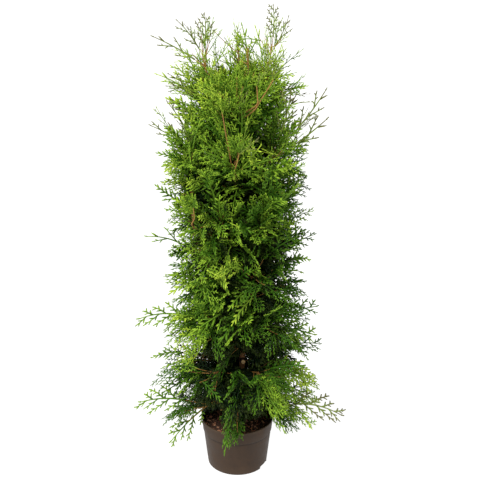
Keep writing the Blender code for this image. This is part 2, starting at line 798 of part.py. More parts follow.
def main():
    clear_scene()
    parts = collection("potted_thuja")
    cutters = collection("cutters")
    plastic = material("pot_plastic", (0.085, 0.072, 0.060), 0.6)
    soil = material("bark_compost", (0.095, 0.045, 0.022), 0.95)
    bark = material("bark", (0.30, 0.13, 0.055), 0.85)
    fresh_cut = material("fresh_cut", (0.62, 0.45, 0.26), 0.8)
    greens = [
        material("green_foliage_low", (0.16, 0.36, 0.03), 0.6),
        material("green_foliage_middle", (0.07, 0.22, 0.02), 0.6),
        material("green_foliage_high", (0.14, 0.30, 0.06), 0.6),
    ]

    pot = make_pot(plastic, parts, cutters)
    compost = make_compost(soil, parts)
    trunk = make_trunk()
    leaders = [make_leader(name, points, trunk) for name, points in LEADERS.items()]
    stub = make_stub(trunk)
    boughs, masses = make_masses(trunk, leaders)
    for limb in [trunk, stub] + leaders + boughs:
        add_object(limb["name"], limb["mesh"], fresh_cut if limb is stub else bark, parts)

    solids = [limb["mesh"] for limb in [trunk, stub] + leaders + boughs]
    solids += [evaluated_mesh(pot), evaluated_mesh(compost)]
    grow_masses(solids, masses)
    for mass in masses:
        middle, _ = at_share(mass["path"], 0.5)
        green = greens[min(int(foot_to_top(middle.z) * len(greens)), len(greens) - 1)]
        fuse_mass(mass, green, parts)


main()
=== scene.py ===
"""Dresses the potted thuja for display.

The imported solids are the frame.  Trunk, leaders and boughs get stringy bark, each mass of
foliage grows on from the limbs by the plant's own rule into twigs and flat sprays, and the
pot and its compost get their finish.  Metres, +Z up.  The origin is the middle of the pot's
flat underside, -Y is the front, and azimuths are in degrees from +X towards +Y.
"""

import json
import math
import random
from typing import NamedTuple

import bmesh
import bpy
import numpy as np
from bpy.props import FloatProperty, FloatVectorProperty, IntProperty, PointerProperty
from bpy.types import Operator, Panel, PropertyGroup
from mathutils import Matrix, Vector

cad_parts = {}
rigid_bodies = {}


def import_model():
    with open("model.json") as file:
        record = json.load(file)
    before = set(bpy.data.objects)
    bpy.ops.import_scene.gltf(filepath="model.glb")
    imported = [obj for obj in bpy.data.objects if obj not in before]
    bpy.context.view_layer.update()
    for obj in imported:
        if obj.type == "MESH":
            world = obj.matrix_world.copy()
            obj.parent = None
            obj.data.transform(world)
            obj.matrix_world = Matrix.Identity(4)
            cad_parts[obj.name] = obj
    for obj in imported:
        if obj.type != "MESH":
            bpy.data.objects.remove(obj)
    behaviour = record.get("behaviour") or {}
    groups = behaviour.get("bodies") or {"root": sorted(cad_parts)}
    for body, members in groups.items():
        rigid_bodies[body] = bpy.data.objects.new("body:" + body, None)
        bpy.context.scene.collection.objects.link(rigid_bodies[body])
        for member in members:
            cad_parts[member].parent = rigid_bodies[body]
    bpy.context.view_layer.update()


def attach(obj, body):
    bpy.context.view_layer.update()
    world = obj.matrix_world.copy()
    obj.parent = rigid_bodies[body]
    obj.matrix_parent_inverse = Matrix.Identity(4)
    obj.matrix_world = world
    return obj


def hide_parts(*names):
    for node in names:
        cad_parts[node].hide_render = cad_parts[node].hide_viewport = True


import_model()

bl_info = {
    "name": "Potted thuja",
    "version": (1, 0, 0),
    "blender": (4, 5, 0),
    "location": "View3D > Sidebar > Thuja",
    "description": "Bark, twigs, sprays of foliage, pot and compost of a potted thuja",
    "category": "Object",
}

UP = Vector((0.0, 0.0, 1.0))
BODY = "root"
SEED = 972

# ------------------------------------------------------------------ sizes of the plant

POT_HEIGHT = 0.138
POT_RIM_RADIUS = 0.095
POT_BASE_RADIUS = 0.078
POT_WALL = 0.0018
POT_FLOOR = 0.0030
POT_BAND_HEIGHT = 0.034         # the thicker band under the rim
POT_BAND_STEP = 0.0018          # how far the band stands out of the wall
POT_BAND_ROUNDING = 0.0007      # rounding of the band's lower edge
POT_CORNER = 0.006              # rounding between wall and underside
POT_FOOT_STEP = 0.024           # how far the thick inside corner reaches in over the floor
POT_FOOT_RISE = 0.022           # and how far it reaches up the wall
NOTCH_COUNT = 2                 # notches in the foot, cut into the thick corner
NOTCH_SIZE = (0.040, 0.020, 0.022)
NOTCH_AZIMUTH = -25.0
NOTCH_ROUNDING = 0.0016
POT_SIDES = 144                 # facets round the pot
POT_SHARP = 38.0                # degrees between faces past which an edge shows
COMPOST_TOP = 0.122
COMPOST_GAP = 0.0003            # between the compost and the pot's wall
COMPOST_RINGS = 34              # rings of faces over its top, and facets round it
COMPOST_SIDES = 110
LUMP_RATES = (60.0, 420.0)      # of the waves that make its lumps, in radians to the metre
LUMP_WAVES = 14
LUMP_GAIN = 0.35                # how much their sum counts, of the lumps' height
LUMP_SETTLING = 0.2             # how far all of the top lies lower, of the same
EDGE_DIP = 0.35                 # and how much more its outer band does
EDGE_BAND = (0.85, 0.15)        # share of the radius where that begins, and its width
COMPOST_RIM = 0.001             # width of the outermost ring, which keeps its height
CHIP_SHAPES = 6
CHIP_STRAY = (-0.30, 0.10)      # how far a chip's corners stray lengthwise, of its length
CHIP_WIDTH = (0.26, 0.52)       # and where they lie across it
CHIP_THICKNESS = (0.10, 0.26)
CHIP_SKEW = 0.16
CHIP_LEAST = 0.28               # size of the smallest chip, of the largest
CHIP_TILT = 0.35                # how far a chip tilts from lying flat, in radians
CHIP_SINK = 0.002               # how far its middle lies from the compost's level
CHIP_MARGIN = 0.004             # how far the middles keep off the pot's wall

TRUNK_POINTS = (                # the trunk's axis, from just under the compost to its tip
    (0.000, 0.000, COMPOST_TOP - 0.004),
    (0.001, 0.000, 0.150),
    (0.013, -0.002, 0.306),
    (0.015, 0.002, 0.450),
    (0.014, 0.003, 0.643),
    (-0.003, 0.000, 0.802),
    (0.009, -0.003, 0.868),
    (0.028, 0.000, 0.965),
    (0.064, 0.002, 1.040),
    (0.075, 0.000, 1.085),
)
TRUNK_FOOT_RADIUS = 0.0085
TRUNK_TIP_RADIUS = 0.0016
ROOT_FLARE = 0.0045             # what the flare adds to the radius at the compost
ROOT_FLARE_HEIGHT = 0.012       # height over which the flare fades to a third

LEADER_RADIUS = 0.0042
LEADER_TIP_RADIUS = 0.0016
LEADER_UPRIGHT = 0.38           # share of a leader past which it stands upright
LEADERS = {                     # axes of the upright stems, each from the trunk's axis
    "side_leader": (
        (0.015, 0.001, 0.425), (-0.040, -0.022, 0.520), (-0.100, -0.040, 0.653),
        (-0.108, -0.042, 0.722), (-0.112, -0.040, 0.800),
    ),
    "left_leader": (
        (-0.003, 0.000, 0.800), (-0.027, -0.010, 0.886), (-0.036, -0.016, 0.972),
        (-0.070, -0.012, 1.065),
    ),
    "centre_leader": (
        (0.026, 0.000, 0.958), (0.028, -0.012, 1.010), (0.026, -0.020, 1.080),
    ),
    "back_leader": (
        (0.014, 0.003, 0.600), (0.020, 0.045, 0.720), (0.006, 0.066, 0.860),
        (0.004, 0.068, 1.060),
    ),
}

STUB_HEIGHT = 0.306             # the pruned stub on the trunk's front
STUB_RADIUS = 0.0062
STUB_REACH = 0.021              # from the trunk's axis to the cut face
STUB_FRONT = Vector((0.12, -1.0, 0.18)).normalized()
STUB_FACE = Vector((0.015, -0.022, 0.310))
STUB_COLLAR = (                 # (share of its radius, share of its reach) up to its rim
    (1.50, 0.0), (1.42, 0.38), (1.14, 0.62), (1.02, 0.85),
)
STUB_SIDES = 40
STUB_SHARP = 40.0               # degrees between faces past which an edge shows
STUB_OVAL = 0.94                # its width one way, of the other
RIPPLE_COUNT = 4                # waves of its uneven bark,
RIPPLE_DEPTH = 0.022            # their depth, of its radius,
RIPPLE_TWIST = 90.0             # and how they wind along it, in radians to the metre
RIPPLE_FADE = 0.004             # length over which they fade towards the cut
STUB_OPEN = Vector((0.0, -0.88, 0.475))     # way in which the foliage stands open before it
STUB_GAP = 0.030                # half the width of that opening

BOUGH_RADIUS = 0.0030
BOUGH_TIP_RADIUS = 0.0020
BOUGH_DIP = 0.15                # how far a bough's middle hangs, of its length
STEM_RADIUS = 0.0019
STEM_TIP_RADIUS = 0.0014
STEM_REACH = 0.45               # share of its length that a stem keeps its limb's direction
STEM_BULGE = 0.12               # how far a stem's middle stands out, of its spread

# One row for each tier of foliage: name, number of masses, azimuth of the first, height at
# which it leaves its limb, (radius, height) of the bough's tip where there is a bough,
# (radius, height) of the end of the mass's stem, and number of twigs on that stem.
TIERS = (
    ("skirt", 5, 54.0, 0.165, (0.050, 0.187), (0.092, 0.176), 16),
    ("lower", 5, 18.0, 0.250, (0.048, 0.285), (0.090, 0.305), 22),
    ("middle", 4, 45.0, 0.352, (0.042, 0.400), (0.080, 0.438), 26),
    ("shoulder", 5, 10.0, 0.450, None, (0.078, 0.572), 25),
    ("upper", 5, 26.0, 0.572, None, (0.082, 0.715), 28),
    ("crown", 5, 46.0, 0.735, None, (0.088, 0.862), 27),
    ("top", 3, 30.0, 0.915, None, (0.080, 1.005), 28),
)
LEADER_TIP_STEM = 0.045         # length of the stem that carries on from a leader's tip
LEADER_TIP_RISE = 0.6           # how much that turns upwards
LEAFY_FROM = 0.800              # height above which the leaders bear twigs all round
LEAFY_POINTS = 8                # fewest points of a leader's path, from its tip, that do
TWIG_SPACE = 0.0105             # length of leader for each twig on it
LINING_FROM = 0.210             # height above which trunk and leader bear short inner twigs
LINING_SPACE = 0.0110           # length of them for each of those
LINING_WITHIN = 0.5             # share of a mass's limb on which such twigs grow

CROWN_PROFILE = (               # (height, radius) of the crown's outline
    (0.045, 0.155), (0.100, 0.190), (0.200, 0.215), (0.350, 0.205), (0.500, 0.187),
    (0.650, 0.190), (0.850, 0.186), (1.000, 0.190), (1.100, 0.165), (1.215, 0.105),
)
LIFT_FOOT = (0.150, -34.0)      # (height, degrees above level) of the lowest sprays
LIFT_TOP = (1.100, 64.0)        # the same for the highest ones
LIFT_BEND = 0.62                # below 1: the sprays turn upwards early
LIFT_SPREAD = (40.0, 42.0)      # how far a twig may lift or droop from that: foot, top

FURTHEST_TIPS = (               # (azimuth, radius, height) of the shoots that stand out
    (0.0, 0.092, 1.219), (188.0, 0.128, 1.194), (200.0, 0.066, 1.201),
    (14.0, 0.134, 1.183), (178.0, 0.189, 1.155), (8.0, 0.229, 1.004),
    (-12.0, 0.226, 0.948), (184.0, 0.196, 0.948), (176.0, 0.221, 0.659),
    (188.0, 0.247, 0.456), (-9.0, 0.209, 0.459), (12.0, 0.220, 0.333),
    (194.0, 0.262, 0.205), (-6.0, 0.276, 0.163), (187.0, 0.175, 0.062),
    (260.0, 0.124, 0.126), (-12.0, 0.162, 0.114), (95.0, 0.215, 0.420),
    (80.0, 0.205, 0.110), (100.0, 0.185, 0.980), (24.0, 0.172, 0.985), (-28.0, 0.160, 1.030),
    (168.0, 0.160, 0.990), (214.0, 0.150, 0.965), (282.0, 0.165, 0.780), (292.0, 0.160, 0.700),
    (306.0, 0.160, 0.835), (322.0, 0.160, 0.765),
)

FRONT_STEMS = (                 # points of the bare stems that show between the sprays in front
    ((0.042, -0.106, 1.010), (0.046, -0.112, 1.034), (0.044, -0.114, 1.060)),
    ((0.034, -0.100, 0.994), (0.056, -0.108, 1.028), (0.082, -0.110, 1.072)),
    ((-0.025, -0.112, 0.944), (-0.029, -0.120, 0.972), (-0.034, -0.122, 1.002)),
    ((-0.004, -0.122, 0.864), (0.001, -0.130, 0.886), (0.005, -0.132, 0.908)),
    ((-0.102, -0.090, 0.708), (-0.101, -0.097, 0.734), (-0.103, -0.100, 0.762)),
)
FRONT_STEM_RADIUS = (0.0018, 0.0012)
FRONT_STEM_GAP = 0.009          # no spray's middle line passes nearer in front of one
FRONT_STEM_RISE = 0.040         # a front stem comes from at least this far below its foot

FIRST_TWIG = 0.25               # share of a mass's limb from which it bears twigs
TWIG_LENGTH = (0.030, 0.078)
TWIG_RADIUS = (0.0011, 0.0007)  # at its root and at its tip
TWIG_TURN_UP = 0.16             # how far a twig's end bends up, of its length
TWIG_WITHIN = 0.92              # share of the crown's radius in which a twig has to end
SHORT_TWIG = (0.5, 0.3)         # run and rise of one that wouldn't, of its length
TWIG_LIFT_SPREAD = (-1.0, 0.8)  # how far its lift strays, of LIFT_SPREAD
SLACK = (0.90, 1.12)            # share of the crown's radius to which its sprays may reach
FAN = 58.0                      # most that a twig turns aside of its mass's azimuth
TIP_FAN = 150.0                 # the same for the masses on the leaders' tips
INNER_FAN = 100.0               # what is added to that at the stem's root
END_SPRAY = (0.085, 0.128)      # lengths of the sprays that end a twig
SIDE_SPRAY = (0.058, 0.092)     # lengths of those on its sides
SIDE_TURN = (38.0, 76.0)        # degrees that a side spray turns from its twig
SIDE_PLACES = (0.82, 0.52, 0.24)        # shares of the twig at which they grow
SPRAY_SAG = (0.34, 0.02)        # droop of a spray's tip, of its length: foot, top
FACE_OUT_SHARE = 0.58           # share of sprays whose flat side faces outwards, not sideways
FACE_UP = 0.55                  # and upwards by this much
ROLL_SPREAD = 34.0              # degrees by which it is rolled from that, more or less
ROLL_SHARE = 0.6                # standard deviation of the roll, of those degrees
INNER_SHARE = 0.32              # share of a mass's twigs that line its inside
INNER_SPRAY = (0.055, 0.088)    # lengths of the sprays inside
INNER_REACH = 0.72              # how far those reach, of the crown's radius
INNER_PLACES = ((1.0, 0.0), (0.8, 64.0), (0.5, -64.0))      # (share of the twig, turn)
LEAFY_TOP = 1.070               # above this height the sprays get fewer and fewer
SPARSE_POWER = 3.2              # how fast they do
YOUNG_FROM = 0.960              # height above which bark turns green towards LEAFY_TOP
FLOOR_MARGIN = 0.100            # no spray hangs lower than this
SIGHT_SLOPE = 0.63              # rise for its run of a line of sight to the compost
FRONT_GAPS = (                  # (x, how far below the compost's level that line may pass)
    (-0.140, 0.300), (-0.125, -0.036), (-0.040, -0.030), (-0.026, 0.100),
    (0.002, 0.100), (0.014, -0.004), (0.090, -0.004), (0.105, 0.035),
)
POT_MARGIN = 0.012              # no spray comes nearer to the pot than this
TRIES = 9
SHORTEN = 0.5                   # how much shorter a spray is at the last try
WANDER_ASIDE = 16.0             # degrees by which a spray strays aside of its direction
WANDER_UP = 14.0                # and up or down
SAG_SPREAD = (-0.10, 0.12)      # what is added to its sag

# ------------------------------------------------------------------ settings


def colour_setting(name, description, default):
    return FloatVectorProperty(name=name, description=description, default=default,
                               subtype="COLOR", size=3, min=0.0, max=1.0)


def length_setting(name, description, default):
    return FloatProperty(name=name, description=description, default=default,
                         subtype="DISTANCE", unit="LENGTH")


class PotSettings(PropertyGroup):
    colour: colour_setting("Colour", "Colour of the matt plastic", (0.047, 0.0275, 0.0160))
    dust: colour_setting("Dust", "Colour of the dried compost dust on it", (0.085, 0.056, 0.034))
    roughness: FloatProperty(
        name="Roughness", description="Roughness of the plastic", default=0.52, min=0.0, max=1.0)
    lip: length_setting("Lip", "Radius of the rounding along the rim", 0.0008)


class CompostSettings(PropertyGroup):
    chips: IntProperty(
        name="Chips", description="Number of bark chips on the compost", default=620, min=0)
    chip_length: length_setting("Chip length", "Length of the largest chip", 0.0115)
    lumps: length_setting("Lumps", "Height of the lumps in the surface", 0.0040)
    dark: colour_setting("Damp compost", "Colour between the chips", (0.020, 0.009, 0.005))


class BarkSettings(PropertyGroup):
    relief: length_setting("Relief", "Depth of the stringy ridges on the trunk", 0.0012)
    ring_spacing: length_setting("Ring spacing", "Length of the mesh's faces along a limb", 0.0035)
    ridge: colour_setting("Ridges", "Colour of the fibres that stand out", (0.430, 0.205, 0.070))
    furrow: colour_setting("Furrows", "Colour between the fibres", (0.060, 0.030, 0.016))
    cut: colour_setting("Cut wood", "Colour of the pruned stub's face", (1.000, 0.640, 0.290))


class FoliageSettings(PropertyGroup):
    twig_share: FloatProperty(
        name="Twigs", description="Share of the twigs that grow", default=1.0, min=0.1, max=2.0)
    shoot_width: length_setting("Shoot width", "Width of the finest shoots", 0.0048)
    # the deep green is partly real old foliage and partly painted shade for the crown's dark
    # hollows
    deep: colour_setting("Deep green", "Old foliage inside the crown", (0.003, 0.014, 0.001))
    mid: colour_setting("Mid green", "Most of the foliage", (0.042, 0.122, 0.006))
    fresh: colour_setting("Fresh green", "This year's sprays", (0.135, 0.265, 0.018))
    lime: colour_setting("Lime green", "The newest sprays", (0.250, 0.400, 0.034))
    olive: colour_setting("Olive green", "Sprays at the crown's bare ends", (0.210, 0.280, 0.050))
    bud: colour_setting("Dull buds", "Ends of the olive sprays", (0.185, 0.190, 0.065))
    wood: colour_setting("Twig bark", "Bark of stems and twigs", (0.330, 0.170, 0.036))


class StageSettings(PropertyGroup):
    floor: colour_setting("Floor", "Colour of the floor", (0.14, 0.14, 0.138))
    key: FloatProperty(
        name="Key light", description="Strength of the soft light at the front left", default=3.3)
    sky: FloatProperty(
        name="Sky", description="Strength of the even light from all round", default=0.42)


SETTINGS = {
    "thuja_pot": PotSettings,
    "thuja_compost": CompostSettings,
    "thuja_bark": BarkSettings,
    "thuja_foliage": FoliageSettings,
    "thuja_stage": StageSettings,
}

# ------------------------------------------------------------------ node trees


class Graph:
    """A node tree under construction: adds nodes and fills or links their sockets."""

    def __init__(self, tree):
        self.tree = tree

    def add(self, kind, inputs=None, **options):
        node = self.tree.nodes.new(kind)
        for key, value in options.items():
            setattr(node, key, value)
        for key, value in (inputs or {}).items():
            self.plug(node.inputs[key], value)
        return node

    def plug(self, socket, value):
        if isinstance(value, bpy.types.Node):
            value = value.outputs[0]
        if isinstance(value, bpy.types.NodeSocket):
            self.tree.links.new(value, socket)
        else:
            socket.default_value = value

    def math(self, operation, *values):
        return self.add("ShaderNodeMath", dict(enumerate(values)), operation=operation)

    def vector(self, x, y, z):
        return self.add("ShaderNodeCombineXYZ", {"X": x, "Y": y, "Z": z})

    def place(self):
        """Where a point of the surface is, in the piece's own metres."""
        return self.add("ShaderNodeTexCoord").outputs["Object"]

    def height(self, place):
        return self.add("ShaderNodeSeparateXYZ", {0: place}).outputs["Z"]

    def spread(self, value, from_low, from_high, to_low, to_high):
        """A value carried evenly from one range into another, and held at its ends."""
        return self.add("ShaderNodeMapRange", {
            "Value": value, "From Min": from_low, "From Max": from_high,
            "To Min": to_low, "To Max": to_high})

    def attribute(self, name, kind):
        """A named attribute of the geometry, or of the surface in a material."""
        if self.tree.bl_idname == "ShaderNodeTree":
            return self.add("ShaderNodeAttribute", attribute_name=name).outputs[kind]
        return self.add("GeometryNodeInputNamedAttribute", {"Name": name}, data_type=kind)

    def ramp(self, factor, stops):
        """Colour that follows a factor through (place, colour) stops."""
        node = self.add("ShaderNodeValToRGB", {"Fac": factor})
        elements = node.color_ramp.elements
        while len(elements) < len(stops):
            elements.new(0.5)
        for element, (place, colour) in zip(elements, stops):
            element.position = place
            element.color = (*colour, 1.0)
        return node.outputs["Color"]


def geometry_graph(name, **inputs):
    """A geometry node tree with named inputs, each given as its kind of socket."""
    tree = bpy.data.node_groups.new(name, "GeometryNodeTree")
    tree.interface.new_socket("Geometry", in_out="INPUT", socket_type="NodeSocketGeometry")
    tree.interface.new_socket("Geometry", in_out="OUTPUT", socket_type="NodeSocketGeometry")
    for label, kind in inputs.items():
        tree.interface.new_socket(label, in_out="INPUT", socket_type="NodeSocket" + kind)
    graph = Graph(tree)
    graph.start = tree.nodes.new("NodeGroupInput")
    graph.end = tree.nodes.new("NodeGroupOutput")
    return graph


def new_object(name, data):
    """An object of the scene with the given mesh, light or camera."""
    obj = bpy.data.objects.new(name, data)
    bpy.context.scene.collection.objects.link(obj)
    return obj


def remove_shapes(shapes):
    """Take a collection of shapes away again, once they are instanced."""
    for obj in list(shapes.objects):
        bpy.data.objects.remove(obj)
    bpy.data.collections.remove(shapes)


def run_nodes(graph, mesh, **values):
    """The plain mesh that a geometry node tree makes of a mesh."""
    seed = new_object("seed", mesh)
    modifier = seed.modifiers.new("grow", "NODES")
    modifier.node_group = graph.tree
    for item in graph.tree.interface.items_tree:
        if item.in_out == "INPUT" and item.name in values:
            modifier[item.identifier] = values[item.name]
    made = evaluated_mesh(seed)
    bpy.data.objects.remove(seed)
    return made


def evaluated_mesh(obj):
    bpy.context.view_layer.update()
    graph = bpy.context.evaluated_depsgraph_get()
    return bpy.data.meshes.new_from_object(obj.evaluated_get(graph))


def finish_by(graph, geometry, materials):
    """End a tree in realized instances with a material on all, or on each choice of faces."""
    made = graph.add("GeometryNodeRealizeInstances", {"Geometry": geometry})
    for selection, mat in materials:
        inputs = {"Geometry": made, "Material": mat}
        if selection is not None:
            inputs["Selection"] = selection
        made = graph.add("GeometryNodeSetMaterial", inputs)
    graph.plug(graph.end.inputs["Geometry"], made)


def scatter(graph, shapes, size):
    """Instances of the shapes in a collection on points, by their kind, turn and size."""
    picked = graph.add("GeometryNodeCollectionInfo", {
        "Collection": graph.start.outputs[shapes], "Separate Children": True,
        "Reset Children": True})
    turn = graph.add("FunctionNodeEulerToRotation", {0: graph.attribute("turn", "FLOAT_VECTOR")})
    return graph.add("GeometryNodeInstanceOnPoints", {
        "Points": graph.start.outputs["Geometry"], "Instance": picked, "Pick Instance": True,
        "Instance Index": graph.attribute("kind", "INT"), "Rotation": turn, "Scale": size})


def is_equal(graph, value, number):
    node = graph.add("FunctionNodeCompare", data_type="INT", operation="EQUAL")
    graph.plug(node.inputs[2], value)
    node.inputs[3].default_value = number
    return node.outputs[0]


def add_attribute(mesh, name, kind, values, domain="POINT"):
    field = {"FLOAT_VECTOR": "vector"}.get(kind, "value")
    number = {"INT": np.int32, "BOOLEAN": bool}.get(kind, np.float32)
    data = mesh.attributes.new(name, kind, domain).data
    data.foreach_set(field, np.asarray(values, number).ravel())


# ------------------------------------------------------------------ materials

MOTTLE_SCALE = 34.0             # noise over the plastic: broad patches,
STREAK_SCALE = 260.0            # scuffs, drawn out along the wall by the stretch,
STREAK_STRETCH = (1.0, 1.0, 0.12)
DUST_SCALE = 70.0               # clinging dust,
GRAIN_SCALE = 900.0             # and the moulded grain
GRAIN_DEPTH = 0.0002
DUSTY_FOOT = 0.030              # height up to which dust clings to the wall
DUSTY_RIM = 0.010               # how far under the rim it does
RIM_HIGHLIGHT_WIDTH = 0.0022               # width of the painted highlight along the rim
BAND_SHADOW_WIDTH = 0.0080            # width of the painted shadow under the band

CRUMB_SCALE = 330.0
CRUMB_DEPTH = 0.0016
CRUMB_BROWN = (0.075, 0.032, 0.015)
CRUMB_TAN = (0.190, 0.100, 0.052)

FIBRE_SCALE = 3.0               # noise along the bark's grain: fibres and rusty patches
RUST_SCALE = 0.7
FIBRE_DEPTH = 0.0006
RUSTY_BARK = (0.360, 0.170, 0.062)
YOUNG_BARK = (0.180, 0.190, 0.045)

RING_RATE = 7600.0              # growth rings of the cut face, in radians to the metre
RING_WOBBLE = 7.0
WOBBLE_SCALE = 420.0
SAW_SCALE = 1500.0
SAW_DEPTH = 0.0003
RIND = (0.80, 0.92)             # shares of the stub's radius between which wood turns to bark


def times(colour, factor):
    return [min(c * factor, 1.0) for c in colour]


def plain_material(name, colour, roughness=0.5, **sockets):
    mat = bpy.data.materials.new(name)
    mat.use_nodes = True
    shader = mat.node_tree.nodes["Principled BSDF"]
    shader.inputs["Base Color"].default_value = (*colour, 1.0)
    shader.inputs["Roughness"].default_value = roughness
    for key, value in sockets.items():
        shader.inputs[key.replace("_", " ")].default_value = value
    return mat


def node_material(name, colour, roughness=0.5):
    """A material whose nodes are still to be added, with its graph and shader."""
    mat = plain_material(name, colour, roughness)
    return mat, Graph(mat.node_tree), mat.node_tree.nodes["Principled BSDF"]


def mix(graph, factor, first, second):
    node = graph.add("ShaderNodeMix", data_type="RGBA")
    graph.plug(node.inputs[0], factor)
    for socket, value in ((node.inputs[6], first), (node.inputs[7], second)):
        graph.plug(socket, value if isinstance(value, bpy.types.NodeSocket) else (*value, 1.0))
    return node.outputs[2]


def noise(graph, vector, scale, detail=3.0, roughness=0.55):
    inputs = {"Vector": vector, "Scale": scale, "Detail": detail, "Roughness": roughness}
    return graph.add("ShaderNodeTexNoise", inputs).outputs[0]


def bump(graph, shader, height, distance, strength=0.6):
    node = graph.add("ShaderNodeBump", {"Height": height})
    node.inputs["Distance"].default_value = distance
    node.inputs["Strength"].default_value = strength
    graph.plug(shader.inputs["Normal"], node)


def pot_material(settings):
    """Matt plastic, faintly mottled, scuffed, and dusty under the rim and at the foot; painted
    highlight along the rim, painted shadow under the band.
    """
    mat, graph, shader = node_material("pot_plastic", settings.colour, settings.roughness)
    place = graph.place()
    height = graph.height(place)
    mottle = noise(graph, place, MOTTLE_SCALE, 5.0, 0.6)
    base = graph.ramp(mottle, (
        (0.30, times(settings.colour, 0.80)), (0.72, times(settings.colour, 1.22))))
    stretched = graph.add("ShaderNodeMapping", {"Vector": place, "Scale": STREAK_STRETCH})
    scuffs = graph.spread(noise(graph, stretched, STREAK_SCALE, 4.0, 0.7), 0.60, 0.78, 0.0, 0.42)
    foot = graph.spread(height, DUSTY_FOOT, 0.0, 0.0, 0.55)
    rim = graph.spread(height, POT_HEIGHT - DUSTY_RIM, POT_HEIGHT, 0.0, 0.45)
    clinging = noise(graph, place, DUST_SCALE, 6.0, 0.7)
    dust = graph.math("MULTIPLY", graph.math("ADD", foot, rim), clinging)
    dust_scuffs_and_highlight = graph.math("MAXIMUM", dust, graph.math("MULTIPLY", scuffs, mottle))
    # painted highlight: a pale line along the rim's edge, mixed in with the real dust and scuffs
    edge = graph.spread(height, POT_HEIGHT - RIM_HIGHLIGHT_WIDTH, POT_HEIGHT, 0.0, 0.7)
    dust_scuffs_and_highlight = graph.math("MAXIMUM", dust_scuffs_and_highlight, edge)
    band = POT_HEIGHT - POT_BAND_HEIGHT
    # painted shadow: the plastic turns much darker just under the band, where the band's own
    # shadow falls
    band_shadow = graph.spread(height, band - BAND_SHADOW_WIDTH, band - POT_BAND_STEP, 0.0, 0.75)
    under_band = graph.math("LESS_THAN", height, band - 0.0006)
    under = graph.math("MULTIPLY", band_shadow, under_band)
    base = mix(graph, under, base, times(settings.colour, 0.30))
    graph.plug(shader.inputs["Base Color"], mix(graph, dust_scuffs_and_highlight, base, settings.dust))
    rough = graph.spread(mottle, 0.3, 0.7, settings.roughness - 0.08, settings.roughness + 0.14)
    graph.plug(shader.inputs["Roughness"], rough)
    shader.inputs["Specular IOR Level"].default_value = 0.18
    bump(graph, shader, noise(graph, place, GRAIN_SCALE, 3.0, 0.6), GRAIN_DEPTH)
    return mat


def compost_material(settings):
    """Damp, crumbly bark compost between the chips."""
    mat, graph, shader = node_material("compost_crumb", settings.dark, 0.95)
    crumb = noise(graph, graph.place(), CRUMB_SCALE, 6.0, 0.7)
    graph.plug(shader.inputs["Base Color"], graph.ramp(crumb, (
        (0.36, settings.dark), (0.56, CRUMB_BROWN), (0.74, CRUMB_TAN))))
    bump(graph, shader, crumb, CRUMB_DEPTH, 1.0)
    return mat


def bark_material(settings):
    """Stringy bark whose fibres follow the limb, with grey weather, rust and a green top."""
    mat, graph, shader = node_material("bark_fibres", settings.ridge, 0.86)
    grain = graph.attribute("grain", "Vector")
    fibres = noise(graph, grain, FIBRE_SCALE, 6.0, 0.62)
    weathered = [0.55 * c + 0.06 for c in settings.ridge]
    tone = graph.ramp(fibres, ((0.34, settings.furrow), (0.50, settings.ridge), (0.70, weathered)))
    rust = graph.spread(noise(graph, grain, RUST_SCALE, 2.0, 0.5), 0.48, 0.62, 0.0, 0.6)
    old = mix(graph, rust, tone, RUSTY_BARK)
    young = graph.spread(graph.height(graph.place()), YOUNG_FROM, LEAFY_TOP, 0.0, 0.8)
    graph.plug(shader.inputs["Base Color"], mix(graph, young, old, YOUNG_BARK))
    bump(graph, shader, fibres, FIBRE_DEPTH, 0.9)
    return mat


def cut_wood_material(settings, axis_point, axis):
    """A sawn face: pale wood in faint rings about the stub's axis, and its rim of bark."""
    mat, graph, shader = node_material("cut_wood", settings.cut, 0.75)
    place = graph.place()

    def vector_math(operation, inputs, output):
        return graph.add("ShaderNodeVectorMath", inputs, operation=operation).outputs[output]

    away = vector_math("SUBTRACT", {0: place, 1: axis_point}, "Vector")
    along = vector_math("DOT_PRODUCT", {0: away, 1: axis}, "Value")
    shadow = vector_math("SCALE", {0: axis, "Scale": along}, "Vector")
    flat = vector_math("SUBTRACT", {0: away, 1: shadow}, "Vector")
    radius = vector_math("LENGTH", {0: flat}, "Value")
    wobble = graph.math("MULTIPLY", noise(graph, place, WOBBLE_SCALE, 3.0), RING_WOBBLE)
    phase = graph.math("ADD", graph.math("MULTIPLY", radius, RING_RATE), wobble)
    rings = graph.math("SINE", phase)
    wood = graph.ramp(graph.math("MULTIPLY_ADD", rings, 0.5, 0.5), (
        (0.0, times(settings.cut, 0.75)), (0.45, settings.cut), (1.0, times(settings.cut, 1.25))))
    rind = graph.spread(radius, STUB_RADIUS * RIND[0], STUB_RADIUS * RIND[1], 0.0, 1.0)
    graph.plug(shader.inputs["Base Color"], mix(graph, rind, wood, settings.furrow))
    bump(graph, shader, noise(graph, place, SAW_SCALE, 3.0), SAW_DEPTH)
    return mat


# ------------------------------------------------------------------ small geometry helpers


def polar(azimuth, radius, height):
    angle = math.radians(azimuth)
    return Vector((radius * math.cos(angle), radius * math.sin(angle), height))


def heading(azimuth, lift):
    """Unit vector at an azimuth, lifted above level, both in degrees."""
    flat = math.cos(math.radians(lift))
    return polar(azimuth, flat, math.sin(math.radians(lift)))


def azimuth_of(vector):
    return math.degrees(math.atan2(vector.y, vector.x))


def between(table, x):
    """Piecewise linear value at x of a table of (x, value) pairs."""
    if x <= table[0][0]:
        return table[0][1]
    for (x0, y0), (x1, y1) in zip(table, table[1:]):
        if x <= x1:
            return y0 + (y1 - y0) * (x - x0) / (x1 - x0)
    return table[-1][1]


